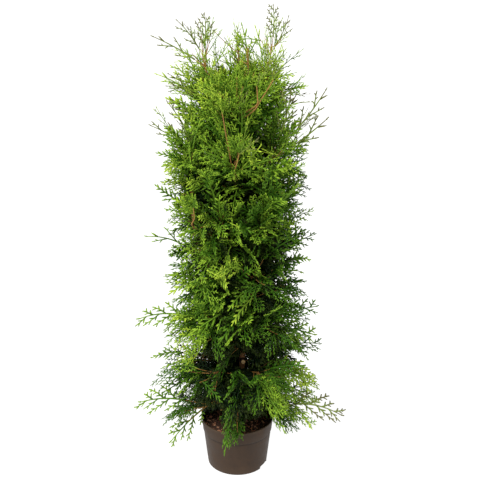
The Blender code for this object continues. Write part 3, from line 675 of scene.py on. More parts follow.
def foot_to_top(height):
    """0 at the lowest sprays, 1 at the highest."""
    share = (height - LIFT_FOOT[0]) / (LIFT_TOP[0] - LIFT_FOOT[0])
    return min(max(share, 0.0), 1.0)


def lift_at(height):
    """Degrees above level at which sprays grow at this height."""
    return LIFT_FOOT[1] + (LIFT_TOP[1] - LIFT_FOOT[1]) * foot_to_top(height) ** LIFT_BEND


def by_height(foot, top, height):
    """A value that goes evenly from the lowest sprays to the highest."""
    return foot + (top - foot) * foot_to_top(height)


def spline(points, steps):
    """Catmull-Rom curve through the points, with a number of steps in each span."""
    points = [Vector(p) for p in points]
    ends = [2 * points[0] - points[1]] + points + [2 * points[-1] - points[-2]]
    path = []
    for a, b, c, d in zip(ends, ends[1:], ends[2:], ends[3:]):
        for i in range(steps):
            t = i / steps
            path.append(0.5 * (2 * b + (c - a) * t + (2 * a - 5 * b + 4 * c - d) * t * t
                               + (3 * b - a - 3 * c + d) * t ** 3))
    return path + [points[-1]]


def bend(start, middle, end, steps):
    """Quadratic curve from start to end that leaves towards the middle point."""
    shares = [i / steps for i in range(steps + 1)]
    return [start * (1 - t) ** 2 + middle * 2 * t * (1 - t) + end * t * t for t in shares]


def at_share(path, share):
    """Point and direction at a share of the way along a path of even steps."""
    place = min(max(share, 0.0), 1.0) * (len(path) - 1)
    i = min(int(place), len(path) - 2)
    return path[i].lerp(path[i + 1], place - i), (path[i + 1] - path[i]).normalized()


def at_height(path, height):
    """Share of a rising path at which it reaches a height, or None past its ends."""
    if not path[0].z <= height <= path[-1].z:
        return None
    for i, (a, b) in enumerate(zip(path, path[1:])):
        if a.z <= height <= b.z:
            return (i + (height - a.z) / (b.z - a.z)) / (len(path) - 1)
    return None


def taper(root, tip, count):
    return [root + (tip - root) * i / (count - 1) for i in range(count)]


# ------------------------------------------------------------------ limbs by the plant's rule

LIMB_STEPS = 8


def grow_trunk():
    path = spline(TRUNK_POINTS, LIMB_STEPS)
    bottom, top = path[0].z, path[-1].z
    radii = []
    for point in path:
        share = (point.z - bottom) / (top - bottom)
        flare = ROOT_FLARE * math.exp(-(point.z - bottom) / ROOT_FLARE_HEIGHT)
        plain = TRUNK_TIP_RADIUS + (TRUNK_FOOT_RADIUS - TRUNK_TIP_RADIUS) * (1 - share)
        radii.append(plain + flare)
    return {"name": "trunk", "path": path, "radii": radii}


def grow_leaders():
    leaders = []
    for name, points in LEADERS.items():
        path = spline(points, LIMB_STEPS)
        radii = taper(LEADER_RADIUS, LEADER_TIP_RADIUS, len(path))
        leaders.append({"name": name, "path": path, "radii": radii})
    return leaders


def grow_bough(name, azimuth, root_height, tip, trunk):
    start, _ = at_share(trunk["path"], at_height(trunk["path"], root_height))
    end = polar(azimuth, *tip)
    middle = start.lerp(end, 0.5) - UP * BOUGH_DIP * (end - start).length
    path = bend(start, middle, end, LIMB_STEPS)
    return {"name": name, "path": path,
            "radii": taper(BOUGH_RADIUS, BOUGH_TIP_RADIUS, len(path))}


def stem_on_tip(limb, end):
    """Path of a stem that carries on from a limb's tip."""
    tip, direction = at_share(limb["path"], 1.0)
    start = tip - direction * STEM_RADIUS
    return bend(start, start + direction * STEM_REACH * (end - start).length, end, LIMB_STEPS)


def stem_on_side(limb, root_height, end):
    """Path of a stem that leaves a limb's side."""
    start, _ = at_share(limb["path"], at_height(limb["path"], root_height))
    outward = end - start
    bulge = Vector((outward.x, outward.y, 0.0)) * STEM_BULGE
    return bend(start, start.lerp(end, 0.5) + bulge, end, LIMB_STEPS)


def nearest_limb(limbs, root_height, end):
    """The limb that passes nearest under the end of a stem, at the stem's root height."""
    found = []
    for limb in limbs:
        share = at_height(limb["path"], root_height)
        leans = limb["name"] != "trunk" and share is not None and share < LEADER_UPRIGHT
        if share is None or leans:
            continue
        place, _ = at_share(limb["path"], share)
        found.append(((place - end).length, limb["name"], limb))
    return min(found)[2]


def grow_limbs():
    """Trunk, leaders, boughs, and the stem of every mass of foliage."""
    trunk = grow_trunk()
    leaders = grow_leaders()
    limbs = [trunk] + leaders
    boughs = []
    masses = []
    for tier, count, first, root_height, bough_tip, goal, twigs in TIERS:
        for i in range(count):
            azimuth = first + 360.0 * i / count
            end = polar(azimuth, *goal)
            label = f"{tier}_{i + 1}"
            if bough_tip:
                bough = grow_bough(f"bough_{label}", azimuth, root_height, bough_tip, trunk)
                boughs.append(bough)
                path = stem_on_tip(bough, end)
            else:
                path = stem_on_side(nearest_limb(limbs, root_height, end), root_height, end)
            bearing = bough["path"][1:] + path[1:] if bough_tip else path
            masses.append({"name": f"foliage_{label}", "tier": tier, "azimuth": azimuth,
                           "path": path, "bearing": bearing, "twigs": twigs, "fan": FAN})
    for limb in limbs:
        tip, direction = at_share(limb["path"], 1.0)
        end = tip + (direction + LEADER_TIP_RISE * UP).normalized() * LEADER_TIP_STEM
        azimuth = azimuth_of(tip) + (90.0 if limb["name"] == "centre_leader" else 0.0)
        path = stem_on_tip(limb, end)
        leafy = sum(p.z > LEAFY_FROM for p in limb["path"])
        bearing = limb["path"][-max(leafy, LEAFY_POINTS):] + path[1:]
        twigs = round((bearing[-1] - bearing[0]).length / TWIG_SPACE)
        masses.append({"name": f"foliage_{limb['name']}_tip", "tier": "tips",
                       "azimuth": azimuth, "path": path, "bearing": bearing,
                       "twigs": twigs, "fan": TIP_FAN})
    return trunk, leaders, boughs, masses


# ------------------------------------------------------------------ crown by the plant's rule

GREENS = ("deep", "mid", "fresh", "lime", "olive")
FRESH_SPOTS = (                 # (azimuth, height, how far round it) of the newest growth
    (215.0, 0.330, 0.120), (300.0, 0.190, 0.110), (345.0, 0.240, 0.120), (310.0, 0.720, 0.060),
    (262.0, 0.620, 0.060), (296.0, 0.590, 0.080), (262.0, 0.500, 0.055), (330.0, 1.130, 0.090),
    (20.0, 0.420, 0.080), (75.0, 0.280, 0.100), (120.0, 0.600, 0.080), (150.0, 0.900, 0.070),
    (60.0, 0.820, 0.070),
)
FERN_SHARE = 0.52               # share of the outer sprays that are twice branched
INNER_WITHIN = 0.42             # share of the crown's radius within which they are inner ones
WISPY_PAST = 0.60               # and the share past which high ones turn wispy
EDGE_ON = 0.25                  # below this a spray points the way that it would face
GOLDEN_SHARE = 0.618            # spreads the twigs evenly along a stem
LIT_FACE_SHARE = 0.4            # share of the bright sprays that turn flat to the front
NEWNESS_AND_SHADE_BY_DEPTH = (1.4, -0.99) # slope and start of how new a spray looks by its depth: old growth and painted shade inside, lighter outside
NEWNESS_AND_SHADE_INSIDE = -0.40          # what that loses on the sprays that line the inside: older growth and painted shade
NEWNESS_TOP = 0.98              # what it comes to at the crown's top instead
NEWNESS_SPREAD = 0.18
NEWNESS_OF_SPOTS = 0.70         # what the spots of newest growth add
NEWNESS_OF_MASS = (-0.12, 0.16) # and what a mass adds to all its sprays
SIDE_SHADE = (                  # (height, painted shade: how far the sprays' green darkens for a metre to +X; below 0 it lightens)
    (0.25, -0.8), (0.45, 1.5), (0.85, 1.6),
)
GREEN_STEPS = (("deep", 0.19), ("mid", 0.50), ("fresh", 0.92))      # each up to this newness, which carries painted shade too
NEWEST_GREEN = "lime"
DEEP_WITHIN = 0.82              # share of the crown's radius within which the old, shade-dark green shows
DEEP_FROM = 0.150               # and the height above which it does
OLIVE_SHARE = 0.40              # share of the outer sprays above OLIVE_FROM that are dull
OLIVE_OUTSIDE = 0.90            # share of the crown's radius past which they are
OLIVE_FROM = 0.940              # height above which the outer tips are dull
OLIVE_PAST = 0.250              # so is the shoot that stands out further than this to +X
FRESH_PAST = 0.100              # and those past this to -X are fresh
WISPY_ABOVE = 0.640             # height above which those shoots are wispy
WISPY_FROM = 0.66               # share of the height above which sprays turn wispy

SHOOT_STARTS = (0.35, 0.55, 0.75, 0.93)     # shares of a stem from which a long shoot may grow
SHOOT_LEAST = 0.085             # a long shoot's start gains nothing by being nearer than this
TURN_COST = 400.0               # degrees of turn off the usual lift that count as a metre
ASIDE_COST = 900.0              # degrees off the mass's azimuth that do
SHOOT_SPRAY = 0.8               # most of a long shoot that its end spray takes
SHOOT_ROLL = 20.0               # degrees by which that is rolled, at most
SHOOT_PLACES = (                # (share of the shoot, turn) of its side sprays
    (0.98, 38.0), (0.90, -40.0), (0.62, 46.0), (0.38, -44.0),
)
FRONT_STEM_STARTS = (0.15, *SHOOT_STARTS)   # the same shares for a bare stem at the front
FRONT_STEM_PLACES = ((1.0, 0.0), (1.0, 42.0), (0.97, -46.0), (0.92, 60.0))


def inside_outline(place, slack):
    if not FLOOR_MARGIN < place.z < CROWN_PROFILE[-1][0]:
        return False
    return math.hypot(place.x, place.y) < between(CROWN_PROFILE, place.z) * slack


def clear_of_gaps(place):
    """True where a place doesn't cover the compost that shows from the front and above."""
    return place.z + SIGHT_SLOPE * place.y > COMPOST_TOP - between(FRONT_GAPS, place.x)


def clear_of_pot(place):
    flat = math.hypot(place.x, place.y)
    if flat < POT_RIM_RADIUS - POT_MARGIN:
        return place.z > COMPOST_TOP + POT_MARGIN
    return flat > POT_RIM_RADIUS + POT_MARGIN or place.z > POT_HEIGHT + 0.5 * POT_MARGIN


def clear_of_stub(place):
    """True where a place doesn't cover the hollow in front of the pruned stub."""
    away = place - STUB_FACE
    along = max(away.dot(STUB_OPEN), 0.0)
    return (away - STUB_OPEN * along).length > STUB_GAP


def clear_of_front_stems(place):
    """True where a place doesn't cover one of the bare stems, seen from the front."""
    slope = (CAMERA_PLACE[2] - place.z) / (place.y - CAMERA_PLACE[1])
    for foot, _, tip in FRONT_STEMS:
        behind = place.z - slope * (foot[1] - place.y)
        share = (behind - foot[2]) / (tip[2] - foot[2])
        across = place.x - foot[0] - (tip[0] - foot[0]) * share
        if place.y < foot[1] and 0.0 < share < 1.0 and abs(across) < FRONT_STEM_GAP:
            return False
    return True


def freshness(place):
    """How new the growth is near a place, from 0 to 1."""
    most = 0.0
    for azimuth, height, reach in FRESH_SPOTS:
        spot = polar(azimuth, between(CROWN_PROFILE, height) * 0.9, height)
        most = max(most, 1.0 - (place - spot).length / reach)
    return most


def is_clear(place):
    """True where a place keeps off the pot and off all that shows between the sprays."""
    return (clear_of_pot(place) and clear_of_stub(place) and clear_of_gaps(place)
            and clear_of_front_stems(place))


def to_front(place):
    """Degrees by which a spray's flat side at a place turns from outwards to the front."""
    return -90.0 - azimuth_of(place)


def spray_points(spray):
    """Places along a spray's middle line, with its sag."""
    points = []
    for share in (0.2, 0.4, 0.6, 0.8, 1.0):
        along = spray["direction"] * spray["length"] * share
        points.append(spray["place"] + along - UP * spray["sag"] * spray["length"] * share ** 2)
    return points


def choose_looks(spray, mass, rng, inner):
    """Give a spray its kind and its green, by where it grows."""
    tip = spray_points(spray)[-1]
    depth = math.hypot(tip.x, tip.y) / between(CROWN_PROFILE, tip.z)
    share = foot_to_top(tip.z)
    wispy = rng.random() < (share - WISPY_FROM) / (1.0 - WISPY_FROM)
    if tip.z > LEAFY_TOP or (wispy and depth > WISPY_PAST):
        spray["kind"] = "wisp"
    elif inner or depth < INNER_WITHIN:
        spray["kind"] = "inner"
    else:
        spray["kind"] = "fern" if rng.random() < FERN_SHARE else "frond"
    # the green is lowered inside the crown and on the lining sprays, both for old growth and as
    # painted shade
    slope, start = NEWNESS_AND_SHADE_BY_DEPTH
    lower = 1.0 - share ** 3
    # painted shade: above about 0.32 m, sprays towards +X get a darker green; below that, a
    # lighter one
    aside = between(SIDE_SHADE, tip.z) * tip.x
    newness_and_shade = (slope * depth + start + NEWNESS_AND_SHADE_INSIDE * inner - aside) * lower
    newness_and_shade += NEWNESS_TOP * (1.0 - lower)
    newness_and_shade += mass["fresh"] + rng.gauss(0.0, NEWNESS_SPREAD) + NEWNESS_OF_SPOTS * freshness(tip)
    green = next((name for name, most in GREEN_STEPS if newness_and_shade < most), NEWEST_GREEN)
    if green == "deep" and not (depth < DEEP_WITHIN and tip.z > DEEP_FROM):
        green = "mid"
    if depth > OLIVE_OUTSIDE and tip.z > OLIVE_FROM and rng.random() < OLIVE_SHARE:
        green = "olive"
    spray["green"] = green
    if green in ("fresh", "lime") and rng.random() < LIT_FACE_SHARE:
        spray["face"] = to_front(tip)


def try_spray(mass, rng, place, azimuth, lift, lengths, slack=1.0, inner=False):
    """A spray from a place on a twig, tried until it keeps to the crown's outline."""
    ceiling = LEAFY_TOP + (CROWN_PROFILE[-1][0] - LEAFY_TOP) * rng.random() ** SPARSE_POWER
    for attempt in range(TRIES):
        length = rng.uniform(*lengths) * (1.0 - SHORTEN * attempt / TRIES)
        direction = heading(azimuth + rng.uniform(-WANDER_ASIDE, WANDER_ASIDE),
                            lift + rng.uniform(-WANDER_UP, WANDER_UP))
        spray = {"place": place, "direction": direction, "length": length,
                 "face": 0.0 if rng.random() < FACE_OUT_SHARE else rng.choice((-90.0, 90.0)),
                 "roll": rng.gauss(0.0, ROLL_SHARE) * ROLL_SPREAD,
                 "sag": by_height(*SPRAY_SAG, place.z) + rng.uniform(*SAG_SPREAD)}
        points = spray_points(spray)
        tip = points[-1]
        if tip.z <= ceiling and inside_outline(tip, slack) and all(map(is_clear, points)):
            choose_looks(spray, mass, rng, inner)
            mass["sprays"].append(spray)
            return True
    return False


def add_twig(mass, path, radii=None):
    mass["wood"].append((path, radii or taper(*TWIG_RADIUS, len(path))))


def add_twig_to(mass, path, reach):
    """Keep a twig's path up to its furthest spray, and none of it if none grew."""
    if reach:
        add_twig(mass, path[:math.ceil(reach * (len(path) - 1)) + 1])


def twig_end(place, direction, length):
    """Where a twig ends: shorter and steeper where it would leave the crown."""
    end = place + direction * length + UP * TWIG_TURN_UP * length
    if clear_of_pot(end) and inside_outline(end, TWIG_WITHIN):
        return end
    run, rise = SHORT_TWIG
    return place + direction * length * run + UP * rise * length


def grow_twig(mass, rng, number):
    """A twig off a mass's stem, with a spray on its end and others by turns on its sides."""
    share = FIRST_TWIG + (1.0 - FIRST_TWIG) * ((number + 0.5) * GOLDEN_SHARE % 1.0)
    fan = 0.0
    if number == 0:
        share = 1.0
    else:
        fan = min(mass["fan"] + INNER_FAN * (1.0 - share), 180.0)
        fan *= (1 if number % 2 else -1) * rng.uniform(0.1, 1.0)
    place, _ = at_share(mass["bearing"], share)
    azimuth = mass["azimuth"] + fan
    lift = lift_at(place.z) + rng.uniform(*TWIG_LIFT_SPREAD) * by_height(*LIFT_SPREAD, place.z)
    length = rng.uniform(*TWIG_LENGTH)
    direction = heading(azimuth, lift)
    path = bend(place, place + direction * length * 0.5, twig_end(place, direction, length), 4)
    _, onward = at_share(path, 1.0)
    rise = math.degrees(math.asin(onward.z))
    slack = rng.uniform(*SLACK)
    reach = float(try_spray(mass, rng, path[-1], azimuth, 0.5 * (rise + lift), END_SPRAY, slack))
    turn = rng.choice((-1, 1))
    for along in SIDE_PLACES:
        turn = -turn
        root, _ = at_share(path, along)
        side = azimuth + turn * rng.uniform(*SIDE_TURN)
        if try_spray(mass, rng, root, side, lift, SIDE_SPRAY, slack):
            reach = max(reach, along)
    add_twig_to(mass, path, reach)


def line_inside(mass, rng, number, limb, most):
    """A short twig low on a limb with sprays that fill the shaded inside of the crown."""
    place, _ = at_share(limb, most * ((number + 0.5) * GOLDEN_SHARE % 1.0))
    azimuth = mass["azimuth"] + rng.uniform(-180.0, 180.0)
    lift = lift_at(place.z) + rng.uniform(-1.0, 1.0) * by_height(*LIFT_SPREAD, place.z)
    direction = heading(azimuth, lift)
    length = TWIG_LENGTH[0]
    path = bend(place, place + direction * length * 0.5, twig_end(place, direction, length), 2)
    reach = 0.0
    for along, turn in INNER_PLACES:
        root, _ = at_share(path, along)
        if try_spray(mass, rng, root, azimuth + turn, lift, INNER_SPRAY, INNER_REACH, True):
            reach = max(reach, along)
    add_twig_to(mass, path, reach)


def stem_places(masses, shares):
    """The (mass, share, place) at each of some shares of the stem of every mass."""
    return [(mass, share, at_share(mass["path"], share)[0]) for mass in masses for share in shares]


def best_start(starts):
    """Mass and place of the (cost, name, share, mass, place) row with the least cost."""
    return min(starts, key=lambda row: row[:3])[3:]


def grow_shoot(masses, rng, tip):
    """A long shoot from a stem near by out to one of the crown's furthest tips."""
    target = polar(*tip)
    starts = []
    for mass, share, place in stem_places(masses, SHOOT_STARTS):
        away = target - place
        turned = abs(math.degrees(math.asin(away.normalized().z)) - lift_at(place.z))
        aside = abs((azimuth_of(target) - mass["azimuth"] + 180.0) % 360.0 - 180.0)
        cost = max(away.length, SHOOT_LEAST) + turned / TURN_COST + aside / ASIDE_COST
        starts.append((cost, mass["name"], share, mass, place))
    mass, place = best_start(starts)
    sag = by_height(*SPRAY_SAG, place.z)
    length = min(END_SPRAY[1], (target - place).length * SHOOT_SPRAY)
    aim = target + UP * sag * length
    away = (aim - place).normalized()
    run = (aim - place).length - length
    path = [place + away * run * i / 4 for i in range(5)]
    add_twig(mass, path)
    dull = target.z > OLIVE_FROM or target.x > OLIVE_PAST
    green = "olive" if dull else "fresh" if target.x < -FRESH_PAST else "mid"
    wispy = target.z > WISPY_ABOVE and abs(target.x) > FRESH_PAST
    mass["sprays"].append({
        "place": path[-1], "direction": away, "roll": rng.uniform(-SHOOT_ROLL, SHOOT_ROLL),
        "face": to_front(target), "length": length, "sag": sag, "green": green,
        "kind": "wisp" if wispy else "fern"})
    azimuth, lift = azimuth_of(away), math.degrees(math.asin(away.z))
    for along, turn in SHOOT_PLACES:
        root, _ = at_share(path, along)
        try_spray(mass, rng, root, azimuth + turn, lift, SIDE_SPRAY, SLACK[1])


def grow_front_stem(masses, rng, points):
    """A bare stem that rises near the crown's front, from the stem of a mass to its sprays."""
    foot = Vector(points[0])
    starts = []
    for mass, share, place in stem_places(masses, FRONT_STEM_STARTS):
        if place.z < foot.z - FRONT_STEM_RISE:
            starts.append(((place - foot).length, mass["name"], share, mass, place))
    mass, place = best_start(starts)
    path = spline([place, *points], 4)
    add_twig(mass, path, taper(*FRONT_STEM_RADIUS, len(path)))
    for along, turn in FRONT_STEM_PLACES:
        root, _ = at_share(path, along)
        try_spray(mass, rng, root, azimuth_of(root) + turn, lift_at(root.z), SIDE_SPRAY)


def grow_crown(settings):
    """Twigs and sprays on the stem of every mass, and the shoots that stand out."""
    trunk, leaders, _, masses = grow_limbs()
    for mass in masses:
        rng = random.Random(f"{SEED} {mass['name']}")
        mass["fresh"] = rng.uniform(*NEWNESS_OF_MASS)
        mass["sprays"] = []
        mass["wood"] = []
        add_twig(mass, mass["path"], taper(STEM_RADIUS, STEM_TIP_RADIUS, len(mass["path"])))
        count = round(mass["twigs"] * settings.twig_share)
        lining = round(count * INNER_SHARE)
        for number in range(count - lining):
            grow_twig(mass, rng, number)
        for number in range(lining):
            line_inside(mass, rng, number, mass["bearing"], LINING_WITHIN)
    rng = random.Random(SEED)
    for tip in FURTHEST_TIPS:
        grow_shoot(masses, rng, tip)
    for points in FRONT_STEMS:
        grow_front_stem(masses, rng, points)
    for limb in (trunk, leaders[0], leaders[-1]):
        mass = next(m for m in masses if m["name"] == f"foliage_{limb['name']}_tip")
        lined = [p for p in limb["path"] if p.z > LINING_FROM]
        count = round((lined[-1] - lined[0]).length / LINING_SPACE * settings.twig_share)
        for number in range(count):
            line_inside(mass, rng, number, lined, 1.0)
    return masses


# ------------------------------------------------------------------ spray shapes


class SprayKind(NamedTuple):
    """Measures of one kind of spray, in metres and degrees."""
    length: float
    gap: float                  # between its side branches
    reach: float                # of those
    angles: tuple               # at which they leave the axis, at its root and at its tip
    tooth_gap: float            # between the teeth of a branch
    tooth: float                # length of one
    fineness: float             # width of its shoots, of the shoot width
    variants: int


SPRAY_KINDS = {
    "fern": SprayKind(0.130, 0.0150, 0.064, (50.0, 38.0), 0.0084, 0.0165, 1.12, 5),
    "frond": SprayKind(0.090, 0.0080, 0.034, (50.0, 40.0), 0.0130, 0.0120, 1.10, 6),
    "inner": SprayKind(0.085, 0.0105, 0.040, (56.0, 40.0), 0.0110, 0.0150, 1.60, 3),
    "wisp": SprayKind(0.125, 0.0235, 0.060, (40.0, 30.0), 0.0150, 0.0125, 0.96, 5),
}
SEGMENT = 0.013                 # length of a piece of a spray's axis
SHOOT_FLATNESS = 0.42           # thickness of a shoot, of its width
SWEEP = 0.16                    # most by which a spray's axis bends aside
CUP = (0.05, 0.22)              # how far its sides curl, of their reach
TWIST = 28.0                    # most that it twists from its root to its tip
END_TOOTH = (0.97, 1.04)        # where the tooth at its tip starts and ends, of its length
BRANCHED_SHARE = 0.92           # share of its length that counts for its branches
BRANCH_FROM = 0.08              # share of the axis at which the first branch leaves
BRANCH_SPAN = 0.88              # and over which the others follow
BRANCH_RUN = (0.72, 1.12)       # what a branch's length is taken times
BRANCH_STRAY = 5.0              # degrees by which its angle strays
BRANCH_TURN = 16.0              # degrees by which it bends towards the spray's tip
BRANCH_TILT = 0.10              # how far it strays up or down
BRANCH_WIDTH = 0.8              # width at its root, of the shoots
AXIS_END = 0.5                  # width of any axis's end, of the shoots
TOOTH_WIDTH = 0.86
TOOTH_RUN = (0.78, 1.12)        # what a tooth's length is taken times
TOOTH_LOSS = 0.45               # how much shorter the teeth get along a branch
TOOTH_TILT = 0.14               # how far one strays up or down
TOOTH_ANGLE = (38.0, 50.0)      # how far a tooth stands off its side branch
TOOTH_SHOULDER = 0.62           # how far along a long tooth keeps its width,
SHOULDER_WIDTH = 0.9            # or nearly
SHORT_TOOTH = 0.0125            # a shorter tooth than this is plain and blunt
BLUNT_END = 0.60                # width of its end, of its root's
NEW_AXIS = 0.72                 # share of a spray's axis past which it is new growth,
NEW_BRANCHES = 0.62             # past which whole branches are,
NEW_BRANCH_AXIS = 0.4           # share of another branch's axis past which it is,
NEW_TEETH = 0.5                 # and its teeth are


class SprayShape:
    """Collects the shoots of one spray: flat, closed, with a ridge on the upper side."""

    def __init__(self):
        self.points = []
        self.faces = []
        self.tips = []

    def add(self, points, faces, is_tip):
        base = len(self.points)
        self.points += points
        self.faces += [tuple(base + i for i in face) for face in faces]
        self.tips += [is_tip] * len(faces)

    def tooth(self, start, end, width, is_tip):
        """A shoot that is broad at its root and comes to a point."""
        along = end - start
        side = Vector((-along.y, along.x, 0.0)).normalized() * width / 2
        lift = UP * width * SHOOT_FLATNESS
        if along.length < SHORT_TOOTH:
            blunt = side * BLUNT_END
            points = [start + side, start - side, end - blunt, end + blunt,
                      start.lerp(end, 0.5) - lift]
            faces = [(0, 1, 2, 3), (1, 0, 4), (2, 1, 4), (3, 2, 4), (0, 3, 4)]
            self.add(points, faces, is_tip)
            return
        shoulder = start.lerp(end, TOOTH_SHOULDER)
        crest = shoulder - lift
        inset = side * SHOULDER_WIDTH
        points = [start + side, start - side, shoulder + inset, shoulder - inset, crest, end]
        faces = [(0, 1, 3, 2), (2, 3, 5), (0, 2, 4), (3, 1, 4), (1, 0, 4), (2, 5, 4), (5, 3, 4)]
        self.add(points, faces, is_tip)

    def axis(self, points, width, end_width, first_tip):
        """A tapering stem with a flat underside; past first_tip it is new growth."""
        steps = len(points) - 1
        ring = []
        for i, point in enumerate(points):
            ahead = points[min(i + 1, steps)] - points[max(i - 1, 0)]
            girth = width + (end_width - width) * i / steps
            side = Vector((-ahead.y, ahead.x, 0.0)).normalized() * girth / 2
            ring += [point + side, point - side, point - UP * girth * SHOOT_FLATNESS]
        base = len(self.points)
        self.points += ring
        self.faces += [(base, base + 2, base + 1)]
        self.tips += [0]
        for i in range(steps):
            a, b, c, d, e, f = (base + 3 * i + k for k in range(6))
            self.faces += [(a, b, e, d), (b, c, f, e), (c, a, d, f)]
            self.tips += [int(i / steps >= first_tip)] * 3
        end = base + 3 * steps
        self.faces += [(end, end + 1, end + 2)]
        self.tips += [1]


def turned_by(vector, degrees):
    return Matrix.Rotation(math.radians(degrees), 3, "Z") @ vector


def add_branch(shape, rng, form, width, root, out, run, side, is_new):
    """A side branch of a spray: one plain shoot, or a bent axis with teeth by turns."""
    forward = turned_by(out, -side * BRANCH_TURN)
    tip = root + out * run * 0.5 + forward * run * 0.5
    teeth = int(run / form.tooth_gap)
    if teeth < 2:
        shape.tooth(root, tip, width, is_new)
        return
    path = bend(root, root + out * run * 0.5, tip, 2 if teeth > 3 else 1)
    shape.axis(path, BRANCH_WIDTH * width, AXIS_END * width, NEW_BRANCH_AXIS)
    end = path[-1] + forward * form.tooth * 0.5
    shape.tooth(path[-1].lerp(path[-2], 0.1), end, BRANCH_WIDTH * width, True)
    for k in range(1, teeth + 1):
        share = k / (teeth + 0.7)
        place, along = at_share(path, share)
        turn = side * (1 if k % 2 else -1) * rng.uniform(*TOOTH_ANGLE)
        arm = form.tooth * (1.0 - TOOTH_LOSS * share) * rng.uniform(*TOOTH_RUN)
        direction = turned_by(along, turn)
        direction.z += rng.uniform(-TOOTH_TILT, TOOTH_TILT)
        shape.tooth(place, place + direction * arm, TOOTH_WIDTH * width,
                    is_new or share > NEW_TEETH)


def branch_outline(share):
    """Length of a spray's side branch at a share of its axis, of the longest."""
    return (1.0 - share) ** 0.75 * min(1.0, 0.45 + 2.2 * share) + 0.14


def spray_mesh(kind, variant, shoot_width):
    """One flat, branched spray along +X with its upper side to -Z."""
    form = SPRAY_KINDS[kind]
    rng = random.Random(f"{SEED} {kind} {variant}")
    width = shoot_width * form.fineness
    sweep = rng.uniform(-SWEEP, SWEEP)
    cup = rng.uniform(*CUP)
    twist = rng.uniform(-TWIST, TWIST)
    shape = SprayShape()

    def middle(share):
        return Vector((form.length * share, sweep * form.length * share ** 2, 0.0))

    steps = max(4, round(form.length / SEGMENT))
    axis = [middle(i / steps) for i in range(steps + 1)]
    shape.axis(axis, width, AXIS_END * width, NEW_AXIS)
    shape.tooth(*map(middle, END_TOOTH), BRANCH_WIDTH * width, True)
    count = int(form.length * BRANCHED_SHARE / form.gap)
    first, last = form.angles
    for j in range(count):
        share = BRANCH_FROM + BRANCH_SPAN * j / count
        side = 1 if j % 2 else -1
        run = form.reach * branch_outline(share) * rng.uniform(*BRANCH_RUN)
        angle = first + (last - first) * share + rng.uniform(-BRANCH_STRAY, BRANCH_STRAY)
        out = turned_by(Vector((1.0, 2.0 * sweep * share, 0.0)).normalized(), side * angle)
        out.z = rng.uniform(-BRANCH_TILT, BRANCH_TILT)
        add_branch(shape, rng, form, width, middle(share), out, run, side, share > NEW_BRANCHES)
    for point in shape.points:
        across = point.y / form.reach
        point.z += cup * form.reach * across * across
        turned = turned_by(Vector((point.y, point.z, 0.0)), twist * point.x / form.length)
        point.y, point.z = turned.xy
    mesh = bpy.data.meshes.new(f"{kind}_{variant}")
    mesh.from_pydata([p[:] for p in shape.points], [], shape.faces)
    mesh.shade_smooth()
    along = [min(max(p.x / form.length, 0.0), 1.0) for p in shape.points]
    add_attribute(mesh, "along", "FLOAT", along)
    add_attribute(mesh, "tip", "INT", shape.tips, "FACE")
    return mesh


def spray_collection(shoot_width):
    """Every variant of every kind in one collection, with each kind's first index."""
    shapes = bpy.data.collections.new("spray_shapes")
    first = {}
    number = 0
    for kind, form in SPRAY_KINDS.items():
        first[kind] = number
        for variant in range(form.variants):
            mesh = spray_mesh(kind, variant, shoot_width)
            shapes.objects.link(bpy.data.objects.new(f"shape_{number:02d}", mesh))
            number += 1
    return shapes, first


def spray_turn(spray):
    """Rotation that lays a spray along its direction with its flat side to the outside."""
    direction = spray["direction"]
    tip = spray["place"] + direction * spray["length"]
    side = direction.cross(polar(azimuth_of(tip) + spray["face"], 1.0, FACE_UP))
    side = side.normalized() if side.length > EDGE_ON else direction.cross(UP).normalized()
    side.rotate(Matrix.Rotation(math.radians(spray["roll"]), 3, direction))
    return Matrix((direction, side, direction.cross(side))).transposed().to_euler()


def foliage_graph(materials):
    """Instances the spray shapes on points, lets them sag, and deals out their greens."""
    graph = geometry_graph("sprays_on_twigs", Shapes="Collection")
    placed = scatter(graph, "Shapes", graph.attribute("size", "FLOAT"))
    made = graph.add("GeometryNodeRealizeInstances", {"Geometry": placed})
    along = graph.attribute("along", "FLOAT")
    drop = graph.math("MULTIPLY", graph.math("MULTIPLY", along, along),
                      graph.attribute("droop", "FLOAT"))
    down = graph.vector(0.0, 0.0, graph.math("MULTIPLY", drop, -1.0))
    hung = graph.add("GeometryNodeSetPosition", {"Geometry": made, "Offset": down})
    green = graph.attribute("green", "INT")
    tip = graph.attribute("tip", "INT")
    choices = []
    for number, (inner, outer) in enumerate(materials):
        for is_tip, mat in ((0, inner), (1, outer)):
            both = graph.add("FunctionNodeBooleanMath", {
                0: is_equal(graph, green, number), 1: is_equal(graph, tip, is_tip)},
                operation="AND")
            choices.append((both.outputs[0], mat))
    finish_by(graph, hung, choices)
    return graph


def points_mesh(sprays, first):
    """One point for each spray, with all that the node tree asks of it."""
    mesh = bpy.data.meshes.new("spray_points")
    mesh.from_pydata([s["place"][:] for s in sprays], [], [])
    kinds = []
    for number, spray in enumerate(sprays):
        variants = SPRAY_KINDS[spray["kind"]].variants
        kinds.append(first[spray["kind"]] + number * 7 % variants)
    sizes = [s["length"] / SPRAY_KINDS[s["kind"]].length for s in sprays]
    add_attribute(mesh, "turn", "FLOAT_VECTOR", [spray_turn(s)[:] for s in sprays])
    add_attribute(mesh, "size", "FLOAT", sizes)
    add_attribute(mesh, "droop", "FLOAT", [s["sag"] * s["length"] for s in sprays])
    add_attribute(mesh, "kind", "INT", kinds)
    add_attribute(mesh, "green", "INT", [GREENS.index(s["green"]) for s in sprays])
    return mesh


